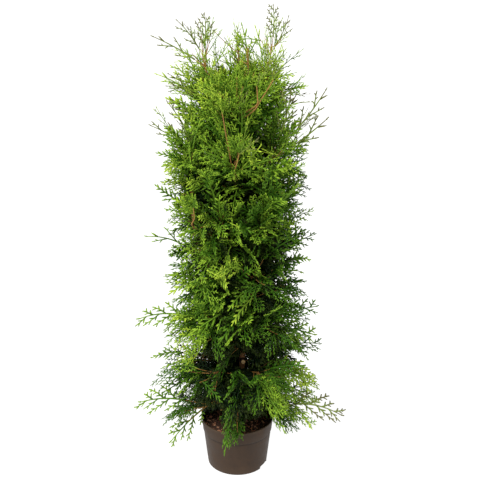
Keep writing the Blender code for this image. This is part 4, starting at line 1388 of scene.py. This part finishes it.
def wood_mesh(limbs):
    """Paths of limbs as loose edges, each point with its radius and its limb's number."""
    mesh = bpy.data.meshes.new("limb_paths")
    points, edges, radii, numbers = [], [], [], []
    for number, (path, radius) in enumerate(limbs):
        base = len(points)
        points += [p[:] for p in path]
        edges += [(base + i, base + i + 1) for i in range(len(path) - 1)]
        radii += radius
        numbers += [number] * len(path)
    mesh.from_pydata(points, edges, [])
    add_attribute(mesh, "girth", "FLOAT", radii)
    add_attribute(mesh, "number", "INT", numbers)
    return mesh


# ------------------------------------------------------------------ pieces

WORKING_ATTRIBUTES = ("turn", "size", "droop", "kind", "green", "tip", "along", "tone", "girth",
                      "number", "run", "around")


def drop_empty_slot(mesh):
    """Take out the empty first material slot that a node tree puts before its own."""
    indices = np.empty(len(mesh.polygons), np.int32)
    mesh.polygons.foreach_get("material_index", indices)
    if len(mesh.materials) > 1 and mesh.materials[0] is None and indices.min() > 0:
        mesh.materials.pop(index=0)
        mesh.polygons.foreach_set("material_index", indices - 1)


def add_piece(name, mesh, nodes=(), mat=None):
    """Put a finished mesh in the scene as a piece that rides on the plant's body."""
    for label in WORKING_ATTRIBUTES:
        if label in mesh.attributes:
            mesh.attributes.remove(mesh.attributes[label])
    drop_empty_slot(mesh)
    obj = new_object(name, mesh)
    mesh.name = name
    if mat:
        mesh.materials.clear()
        mesh.materials.append(mat)
    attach(obj, BODY)
    if nodes:
        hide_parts(*nodes)
    return obj


def tube_graph(mat, profile_sides):
    """Sweeps round tubes of varying radius along loose edges."""
    graph = geometry_graph("twigs_on_paths")
    curves = graph.add("GeometryNodeMeshToCurve", {"Mesh": graph.start.outputs["Geometry"]})
    ring = graph.add("GeometryNodeCurvePrimitiveCircle", {
        "Resolution": profile_sides, "Radius": 1.0})
    tubes = graph.add("GeometryNodeCurveToMesh", {
        "Curve": curves, "Profile Curve": ring, "Scale": graph.attribute("girth", "FLOAT"),
        "Fill Caps": True})
    smooth = graph.add("GeometryNodeSetShadeSmooth", {"Geometry": tubes})
    finish_by(graph, smooth, [(None, mat)])
    return graph


BARK_ROUND = 2.1                # the bark's grain: how far it runs round a limb,
BARK_ALONG = 22.0               # along each metre of it,
BARK_APART = 7.3                # and between one limb and the next
RIDGE_SCALE = 1.9
BARK_SIDES = (28, 18, 14)       # facets round the trunk, a leader and a bough
TWIG_SIDES = 6


def bark_graph(mat, sides):
    """Sweeps tubes along the limbs and raises stringy ridges that follow them."""
    graph = geometry_graph("bark_on_limbs", Relief="Float", Spacing="Float")
    curves = graph.add("GeometryNodeMeshToCurve", {"Mesh": graph.start.outputs["Geometry"]})
    fine = graph.add("GeometryNodeResampleCurve", {
        "Curve": curves, "Length": graph.start.outputs["Spacing"]}, mode="LENGTH")
    along = graph.add("GeometryNodeSplineParameter").outputs["Length"]
    run = graph.add("GeometryNodeStoreNamedAttribute", {
        "Geometry": fine, "Name": "run", "Value": along}, data_type="FLOAT")
    ring = graph.add("GeometryNodeCurvePrimitiveCircle", {"Resolution": sides, "Radius": 1.0})
    spot = graph.add("GeometryNodeInputPosition")
    marked = graph.add("GeometryNodeStoreNamedAttribute", {
        "Geometry": ring, "Name": "around", "Value": spot}, data_type="FLOAT_VECTOR")
    tubes = graph.add("GeometryNodeCurveToMesh", {
        "Curve": run, "Profile Curve": marked, "Scale": graph.attribute("girth", "FLOAT"),
        "Fill Caps": True})
    around = graph.add("ShaderNodeSeparateXYZ", {0: graph.attribute("around", "FLOAT_VECTOR")})
    lengthwise = graph.math("MULTIPLY", graph.attribute("run", "FLOAT"), BARK_ALONG)
    apart = graph.math("MULTIPLY", graph.attribute("number", "INT"), BARK_APART)
    grain = graph.vector(graph.math("MULTIPLY", around.outputs[0], BARK_ROUND),
                         graph.math("MULTIPLY", around.outputs[1], BARK_ROUND),
                         graph.math("ADD", lengthwise, apart))
    grained = graph.add("GeometryNodeStoreNamedAttribute", {
        "Geometry": tubes, "Name": "grain", "Value": grain}, data_type="FLOAT_VECTOR")
    rough = noise(graph, graph.attribute("grain", "FLOAT_VECTOR"), RIDGE_SCALE)
    ridges = graph.math("SUBTRACT", rough, 0.5)
    share = graph.math("DIVIDE", graph.attribute("girth", "FLOAT"), TRUNK_FOOT_RADIUS)
    height = graph.math("MULTIPLY", graph.math("MULTIPLY", ridges, share),
                        graph.math("MULTIPLY", graph.start.outputs["Relief"], 2.0))
    outward = graph.add("ShaderNodeVectorMath", {
        0: graph.add("GeometryNodeInputNormal"), "Scale": height}, operation="SCALE")
    raised = graph.add("GeometryNodeSetPosition", {"Geometry": grained, "Offset": outward})
    smooth = graph.add("GeometryNodeSetShadeSmooth", {"Geometry": raised})
    finish_by(graph, smooth, [(None, mat)])
    return graph


def wall_radius(height):
    """Outer radius of the pot's tapering wall, without its band."""
    top = POT_RIM_RADIUS - POT_BAND_STEP
    return POT_BASE_RADIUS + (top - POT_BASE_RADIUS) * height / POT_HEIGHT


def arc(centre, radius, start, end, steps):
    """Points of an arc in the profile's plane, between two angles in degrees."""
    points = []
    for i in range(steps + 1):
        angle = math.radians(start + (end - start) * i / steps)
        points.append((centre[0] + radius * math.cos(angle), centre[1] + radius * math.sin(angle)))
    return points


def turned_mesh(profile, steps):
    """A closed form turned about Z from a profile of (radius, height) points."""
    mesh = bpy.data.meshes.new("turned")
    edges = [(i, i + 1) for i in range(len(profile) - 1)]
    mesh.from_pydata([(r, 0.0, z) for r, z in profile], edges, [])
    obj = new_object("turned", mesh)
    screw = obj.modifiers.new("turn", "SCREW")
    screw.steps = steps
    screw.render_steps = steps
    screw.use_merge_vertices = True
    screw.merge_threshold = 0.00001
    made = evaluated_mesh(obj)
    bpy.data.objects.remove(obj)
    bm = bmesh.new()
    bm.from_mesh(made)
    bmesh.ops.remove_doubles(bm, verts=bm.verts, dist=0.000002)
    bmesh.ops.recalc_face_normals(bm, faces=bm.faces)
    bm.to_mesh(made)
    bm.free()
    return made


def pot_profile(lip):
    """The pot's section, from the middle of its floor over the rim to its underside."""
    band = POT_HEIGHT - POT_BAND_HEIGHT
    top = wall_radius(POT_HEIGHT)
    rim_out = top + POT_BAND_STEP
    rim_in = top - POT_WALL
    profile = [(0.0, POT_FLOOR), (POT_BASE_RADIUS - POT_FOOT_STEP, POT_FLOOR),
               (wall_radius(POT_FOOT_RISE) - POT_WALL, POT_FOOT_RISE)]
    profile += arc((rim_in + lip, POT_HEIGHT - lip), lip, 180.0, 90.0, 4)
    profile += arc((rim_out - lip, POT_HEIGHT - lip), lip, 90.0, 0.0, 4)
    wall = wall_radius(band)
    soft = POT_BAND_ROUNDING
    profile += [(wall + POT_BAND_STEP, band + soft),
                (wall + POT_BAND_STEP - 0.3 * soft, band + 0.3 * soft),
                (wall + POT_BAND_STEP - soft, band - 0.1 * soft),
                (wall + 0.3 * soft, band - POT_BAND_STEP + 0.4 * soft),
                (wall, band - POT_BAND_STEP - soft)]
    corner = POT_CORNER
    foot = wall_radius(0.0)
    profile += [(wall_radius(corner * 1.1), corner * 1.1),
                (foot + 0.0004, corner * 0.72), (foot - corner * 0.16, corner * 0.42),
                (foot - corner * 0.48, corner * 0.17), (foot - corner, 0.0), (0.0, 0.0)]
    return profile


def make_notch(azimuth):
    """A rounded block that cuts one notch in the pot's foot."""
    bm = bmesh.new()
    bmesh.ops.create_cube(bm, size=1.0)
    bmesh.ops.scale(bm, vec=NOTCH_SIZE, verts=bm.verts)
    bmesh.ops.bevel(bm, geom=bm.edges[:], offset=NOTCH_ROUNDING, segments=3, affect="EDGES")
    place = Matrix.Translation(polar(azimuth, POT_BASE_RADIUS, 0.0))
    bmesh.ops.transform(bm, verts=bm.verts,
                        matrix=place @ Matrix.Rotation(math.radians(azimuth + 90.0), 4, "Z"))
    block = bpy.data.meshes.new("notch")
    bm.to_mesh(block)
    bm.free()
    return new_object("notch", block)


def make_pot(settings):
    pot = new_object("pot_shell", turned_mesh(pot_profile(settings.lip), POT_SIDES))
    cutters = []
    for i in range(NOTCH_COUNT):
        cutters.append(make_notch(NOTCH_AZIMUTH + 360.0 * i / NOTCH_COUNT))
        cut = pot.modifiers.new("notch", "BOOLEAN")
        cut.object = cutters[-1]
        cut.operation = "DIFFERENCE"
    finished = evaluated_mesh(pot)
    for obj in cutters + [pot]:
        bpy.data.objects.remove(obj)
    finished.shade_smooth()
    finished.set_sharp_from_angle(angle=math.radians(POT_SHARP))
    return add_piece("pot_shell", finished, ["pot"], pot_material(settings))


def make_compost_bed(settings):
    """The compost as a closed, lumpy bed that fills the pot."""
    def inner(height):
        return wall_radius(height) - POT_WALL - COMPOST_GAP

    bottom = POT_FLOOR + 2 * COMPOST_GAP
    edge = inner(COMPOST_TOP)
    profile = [(edge * i / COMPOST_RINGS, COMPOST_TOP) for i in range(COMPOST_RINGS + 1)]
    profile += [(inner(POT_FOOT_RISE) - 0.001, POT_FOOT_RISE + 0.001),
                (POT_BASE_RADIUS - POT_FOOT_STEP - 0.001, bottom), (0.0, bottom)]
    mesh = turned_mesh(profile, COMPOST_SIDES)
    rng = random.Random(SEED)
    waves = [(rng.uniform(*LUMP_RATES), rng.uniform(0.0, 360.0), rng.uniform(0.0, 6.0))
             for _ in range(LUMP_WAVES)]
    for vert in mesh.vertices:
        flat = math.hypot(vert.co.x, vert.co.y)
        if vert.co.z < COMPOST_TOP - COMPOST_RIM or flat > edge - COMPOST_RIM:
            continue
        lump = 0.0
        for rate, azimuth, phase in waves:
            lump += math.sin(vert.co.dot(heading(azimuth, 0.0)) * rate + phase) / len(waves) ** 0.5
        start, width = EDGE_BAND
        dip = -EDGE_DIP * max(flat / edge - start, 0.0) / width
        vert.co.z += settings.lumps * (LUMP_GAIN * lump + dip - LUMP_SETTLING)
    mesh.shade_smooth()
    return add_piece("compost_bed", mesh, ["compost"], compost_material(settings))


def chip_mesh(rng):
    """A split, angular chip of bark, a unit long."""
    bm = bmesh.new()
    bmesh.ops.create_cube(bm, size=1.0)
    for vert in bm.verts:
        vert.co.x *= 1.0 + rng.uniform(*CHIP_STRAY)
        vert.co.y *= rng.uniform(*CHIP_WIDTH)
        vert.co.z *= rng.uniform(*CHIP_THICKNESS)
        vert.co.y += CHIP_SKEW * vert.co.x * rng.uniform(-1.0, 1.0)
    mesh = bpy.data.meshes.new("chip")
    bmesh.ops.recalc_face_normals(bm, faces=bm.faces)
    bm.to_mesh(mesh)
    bm.free()
    return mesh


CHIP_COLOURS = (                # bark chips from damp and dark to dry and pale
    (0.045, 0.018, 0.010), (0.190, 0.065, 0.032), (0.340, 0.130, 0.062), (0.500, 0.250, 0.135),
)


def chips_graph(materials):
    """Scatters chips of several tones over the compost's surface."""
    graph = geometry_graph("chips_on_compost", Chips="Collection", Length="Float")
    size = graph.math("MULTIPLY", graph.attribute("size", "FLOAT"), graph.start.outputs["Length"])
    placed = scatter(graph, "Chips", size)
    tone = graph.attribute("tone", "INT")
    finish_by(graph, placed, [(is_equal(graph, tone, i), mat) for i, mat in enumerate(materials)])
    return graph


def make_chips(settings):
    rng = random.Random(SEED)
    chips = bpy.data.collections.new("chip_shapes")
    for i in range(CHIP_SHAPES):
        chips.objects.link(bpy.data.objects.new(f"chip_{i}", chip_mesh(rng)))
    places, turns = [], []
    edge = wall_radius(COMPOST_TOP) - POT_WALL - CHIP_MARGIN
    for _ in range(settings.chips):
        radius = edge * math.sqrt(rng.random())
        azimuth = rng.uniform(0.0, 360.0)
        height = COMPOST_TOP + rng.uniform(-CHIP_SINK, CHIP_SINK)
        places.append(polar(azimuth, radius, height)[:])
        tilts = (rng.gauss(0.0, CHIP_TILT), rng.gauss(0.0, CHIP_TILT))
        turns.append((*tilts, rng.uniform(0.0, 6.28)))
    mesh = bpy.data.meshes.new("chip_points")
    mesh.from_pydata(places, [], [])
    sizes = [CHIP_LEAST + (1.0 - CHIP_LEAST) * rng.random() ** 2 for _ in places]
    kinds = [rng.randrange(CHIP_SHAPES) for _ in places]
    tones = [rng.randrange(len(CHIP_COLOURS)) for _ in places]
    add_attribute(mesh, "turn", "FLOAT_VECTOR", turns)
    add_attribute(mesh, "size", "FLOAT", sizes)
    add_attribute(mesh, "kind", "INT", kinds)
    add_attribute(mesh, "tone", "INT", tones)
    mats = [plain_material(f"bark_chip_{i + 1}", c, 0.85) for i, c in enumerate(CHIP_COLOURS)]
    made = run_nodes(chips_graph(mats), mesh, Chips=chips, Length=settings.chip_length)
    remove_shapes(chips)
    return add_piece("compost_chips", made, ["compost"])


def make_bark(settings):
    trunk, leaders, boughs, _ = grow_limbs()
    mat = bark_material(settings)
    groups = (("trunk_bark", [trunk]), ("leaders_bark", leaders), ("boughs_bark", boughs))
    for (name, limbs), sides in zip(groups, BARK_SIDES):
        mesh = wood_mesh([(limb["path"], limb["radii"]) for limb in limbs])
        made = run_nodes(bark_graph(mat, sides), mesh, Relief=settings.relief,
                         Spacing=settings.ring_spacing)
        add_piece(name, made, [limb["name"] for limb in limbs])


def make_stub(settings):
    """The stub of a pruned branch: a flaring collar, a bark rim and a sawn face."""
    trunk = grow_trunk()
    start, _ = at_share(trunk["path"], at_height(trunk["path"], STUB_HEIGHT))
    reach, radius = STUB_REACH, STUB_RADIUS
    profile = [(0.0, 0.0)] + [(radius * across, reach * along) for across, along in STUB_COLLAR]
    profile += arc((radius * 0.86, reach - radius * 0.14), radius * 0.14, 0.0, 90.0, 3)
    profile += [(radius * 0.80, reach - 0.0004), (radius * 0.74, reach - 0.0001),
                (radius * 0.40, reach + 0.0001), (0.0, reach)]
    mesh = turned_mesh(profile, STUB_SIDES)
    rng = random.Random(SEED)
    phases = [rng.uniform(0.0, 6.28) for _ in range(RIPPLE_COUNT)]
    for vert in mesh.vertices:
        angle = math.atan2(vert.co.y, vert.co.x)
        ripple = sum(math.sin(angle * (3 + 4 * i) + phase + vert.co.z * RIPPLE_TWIST)
                     for i, phase in enumerate(phases))
        fade = min(1.0, (reach + 0.0005 - vert.co.z) / RIPPLE_FADE + 0.25)
        swell = 1.0 + RIPPLE_DEPTH * ripple * fade
        vert.co.x *= swell
        vert.co.y *= swell * STUB_OVAL
    turn = STUB_FRONT.to_track_quat("Z", "Y").to_matrix().to_4x4()
    mesh.transform(Matrix.Translation(start) @ turn)
    mesh.shade_smooth()
    mesh.set_sharp_from_angle(angle=math.radians(STUB_SHARP))
    mat = cut_wood_material(settings, start, STUB_FRONT)
    return add_piece("cut_stub", mesh, ["pruned_stub"], mat)


TIP_GAIN = (1.75, 1.50, 1.40)   # what each channel of a green is taken times
TIP_LIFT = (0.020, 0.022, 0.003)        # and what is added
SPRAY_ROUGHNESS = 0.48
TIP_ROUGHNESS = 0.42
SPRAY_SHINE = 0.14


def lighter(colour):
    """The paler, yellower green of new growth on a spray of a given green."""
    return [min(c * gain + lift, 1.0) for c, gain, lift in zip(colour, TIP_GAIN, TIP_LIFT)]


def mass_nodes(tier):
    names = [f"foliage_{limb}_tip" for limb in ("trunk", *LEADERS)]
    for name, count, *_ in TIERS:
        if name == tier:
            names = [f"foliage_{tier}_{i + 1}" for i in range(count)]
    return names


def make_foliage(settings):
    masses = grow_crown(settings)
    materials = []
    for name in GREENS:
        colour = getattr(settings, name)
        ends = settings.bud if name == "olive" else lighter(colour)
        materials.append((
            plain_material(f"foliage_{name}", colour, SPRAY_ROUGHNESS,
                           Specular_IOR_Level=SPRAY_SHINE),
            plain_material(f"foliage_{name}_tips", ends, TIP_ROUGHNESS,
                           Specular_IOR_Level=SPRAY_SHINE)))
    shapes, first = spray_collection(settings.shoot_width)
    graph = foliage_graph(materials)
    tiers = [row[0] for row in TIERS] + ["tips"]
    for tier in tiers:
        sprays = [s for mass in masses if mass["tier"] == tier for s in mass["sprays"]]
        made = run_nodes(graph, points_mesh(sprays, first), Shapes=shapes)
        add_piece(f"sprays_{tier}", made, mass_nodes(tier))
    remove_shapes(shapes)


def make_twigs(settings):
    masses = grow_crown(settings)
    mat = plain_material("twig_bark", settings.wood, 0.7)
    paths = [wood for mass in masses for wood in mass["wood"]]
    made = run_nodes(tube_graph(mat, TWIG_SIDES), wood_mesh(paths))
    nodes = [mass["name"] for mass in masses]
    return add_piece("twigs", made, nodes)


# ------------------------------------------------------------------ stage

CAMERA_PLACE = (0.007, -2.500, 1.650)
CAMERA_PITCH = 22.0             # degrees below level
CAMERA_LENS = 81.4              # mm, on a sensor 36 mm wide
SENSOR_WIDTH = 36.0
FLOOR_SIZE = 60.0
FLOOR_CELLS = 12
FLOOR_GLOW = 0.98               # keeps the floor white to its far edge
KEY_LIGHT = (226.0, 52.0, 16.0) # azimuth, height and softness, in degrees
FILL_LIGHT = (320.0, 34.0, 40.0)
FILL_SHARE = 0.14               # strength of the fill light, of the key light's
LIGHT_DISTANCE = 3.0


def make_floor(settings):
    """A plain white floor that fills the view."""
    bm = bmesh.new()
    bmesh.ops.create_grid(bm, x_segments=FLOOR_CELLS, y_segments=FLOOR_CELLS, size=FLOOR_SIZE / 2)
    mesh = bpy.data.meshes.new("floor")
    bm.to_mesh(mesh)
    bm.free()
    mesh.materials.append(
        plain_material("floor_paper", settings.floor, 0.9, Emission_Strength=FLOOR_GLOW))
    floor = new_object("floor", mesh)


def add_sun(name, azimuth, lift, softness, strength):
    """Even light from an azimuth and a height above level, from a soft patch of the sky."""
    light = bpy.data.lights.new(name, "SUN")
    light.angle = math.radians(softness)
    light.energy = strength
    obj = new_object(name, light)
    obj.location = heading(azimuth, lift) * LIGHT_DISTANCE
    obj.rotation_euler = heading(azimuth, lift).to_track_quat("Z", "Y").to_euler()


def make_camera():
    camera = bpy.data.cameras.new("camera")
    camera.lens = CAMERA_LENS
    camera.sensor_width = SENSOR_WIDTH
    obj = new_object("camera", camera)
    obj.location = CAMERA_PLACE
    obj.rotation_euler = (math.radians(90.0 - CAMERA_PITCH), 0.0, 0.0)
    bpy.context.scene.camera = obj


def make_world(settings):
    world = bpy.data.worlds.new("studio")
    world.use_nodes = True
    background = world.node_tree.nodes["Background"]
    background.inputs["Color"].default_value = (1.0, 1.0, 1.0, 1.0)
    background.inputs["Strength"].default_value = settings.sky
    bpy.context.scene.world = world


# ------------------------------------------------------------------ operators


class THUJA_OT_stage(Operator):
    """Make the floor, the lights and the camera"""
    bl_idname = "thuja.stage"
    bl_label = "Stage"

    def execute(self, context):
        settings = context.scene.thuja_stage
        make_camera()
        make_world(settings)
        make_floor(settings)
        add_sun("key", *KEY_LIGHT, settings.key)
        add_sun("fill", *FILL_LIGHT, settings.key * FILL_SHARE)
        context.scene.view_settings.view_transform = "Standard"
        return {"FINISHED"}


class THUJA_OT_pot(Operator):
    """Make the nursery pot's shell"""
    bl_idname = "thuja.pot"
    bl_label = "Pot"

    def execute(self, context):
        make_pot(context.scene.thuja_pot)
        return {"FINISHED"}


class THUJA_OT_compost(Operator):
    """Make the compost and the bark chips on it"""
    bl_idname = "thuja.compost"
    bl_label = "Compost"

    def execute(self, context):
        make_compost_bed(context.scene.thuja_compost)
        make_chips(context.scene.thuja_compost)
        return {"FINISHED"}


class THUJA_OT_bark(Operator):
    """Make the bark of the trunk, the leaders and the boughs"""
    bl_idname = "thuja.bark"
    bl_label = "Bark"

    def execute(self, context):
        make_bark(context.scene.thuja_bark)
        return {"FINISHED"}


class THUJA_OT_stub(Operator):
    """Make the stub of the pruned branch"""
    bl_idname = "thuja.stub"
    bl_label = "Pruned stub"

    def execute(self, context):
        make_stub(context.scene.thuja_bark)
        return {"FINISHED"}


class THUJA_OT_twigs(Operator):
    """Grow the stems and twigs of every mass of foliage"""
    bl_idname = "thuja.twigs"
    bl_label = "Twigs"

    def execute(self, context):
        make_twigs(context.scene.thuja_foliage)
        return {"FINISHED"}


class THUJA_OT_foliage(Operator):
    """Grow the flat sprays on the twigs, tier by tier"""
    bl_idname = "thuja.foliage"
    bl_label = "Foliage"

    def execute(self, context):
        make_foliage(context.scene.thuja_foliage)
        return {"FINISHED"}


OPERATORS = (THUJA_OT_stage, THUJA_OT_pot, THUJA_OT_compost, THUJA_OT_bark, THUJA_OT_stub,
             THUJA_OT_twigs, THUJA_OT_foliage)


class THUJA_PT_panel(Panel):
    """Lists the plant's pieces and their settings"""
    bl_label = "Potted thuja"
    bl_space_type = "VIEW_3D"
    bl_region_type = "UI"
    bl_category = "Thuja"

    def draw(self, context):
        for operator in OPERATORS:
            self.layout.operator(operator.bl_idname)
        for name, group in SETTINGS.items():
            box = self.layout.box()
            for field in group.__annotations__:
                box.prop(getattr(context.scene, name), field)


def register():
    for cls in (*SETTINGS.values(), *OPERATORS, THUJA_PT_panel):
        bpy.utils.register_class(cls)
    for name, group in SETTINGS.items():
        setattr(bpy.types.Scene, name, PointerProperty(type=group))


def unregister():
    for name in SETTINGS:
        delattr(bpy.types.Scene, name)
    for cls in reversed((*SETTINGS.values(), *OPERATORS, THUJA_PT_panel)):
        bpy.utils.unregister_class(cls)


def main():
    register()
    bpy.ops.thuja.stage()
    bpy.ops.thuja.pot()
    bpy.ops.thuja.compost()
    bpy.ops.thuja.bark()
    bpy.ops.thuja.stub()
    bpy.ops.thuja.twigs()
    bpy.ops.thuja.foliage()


if __name__ == "__main__":
    main()
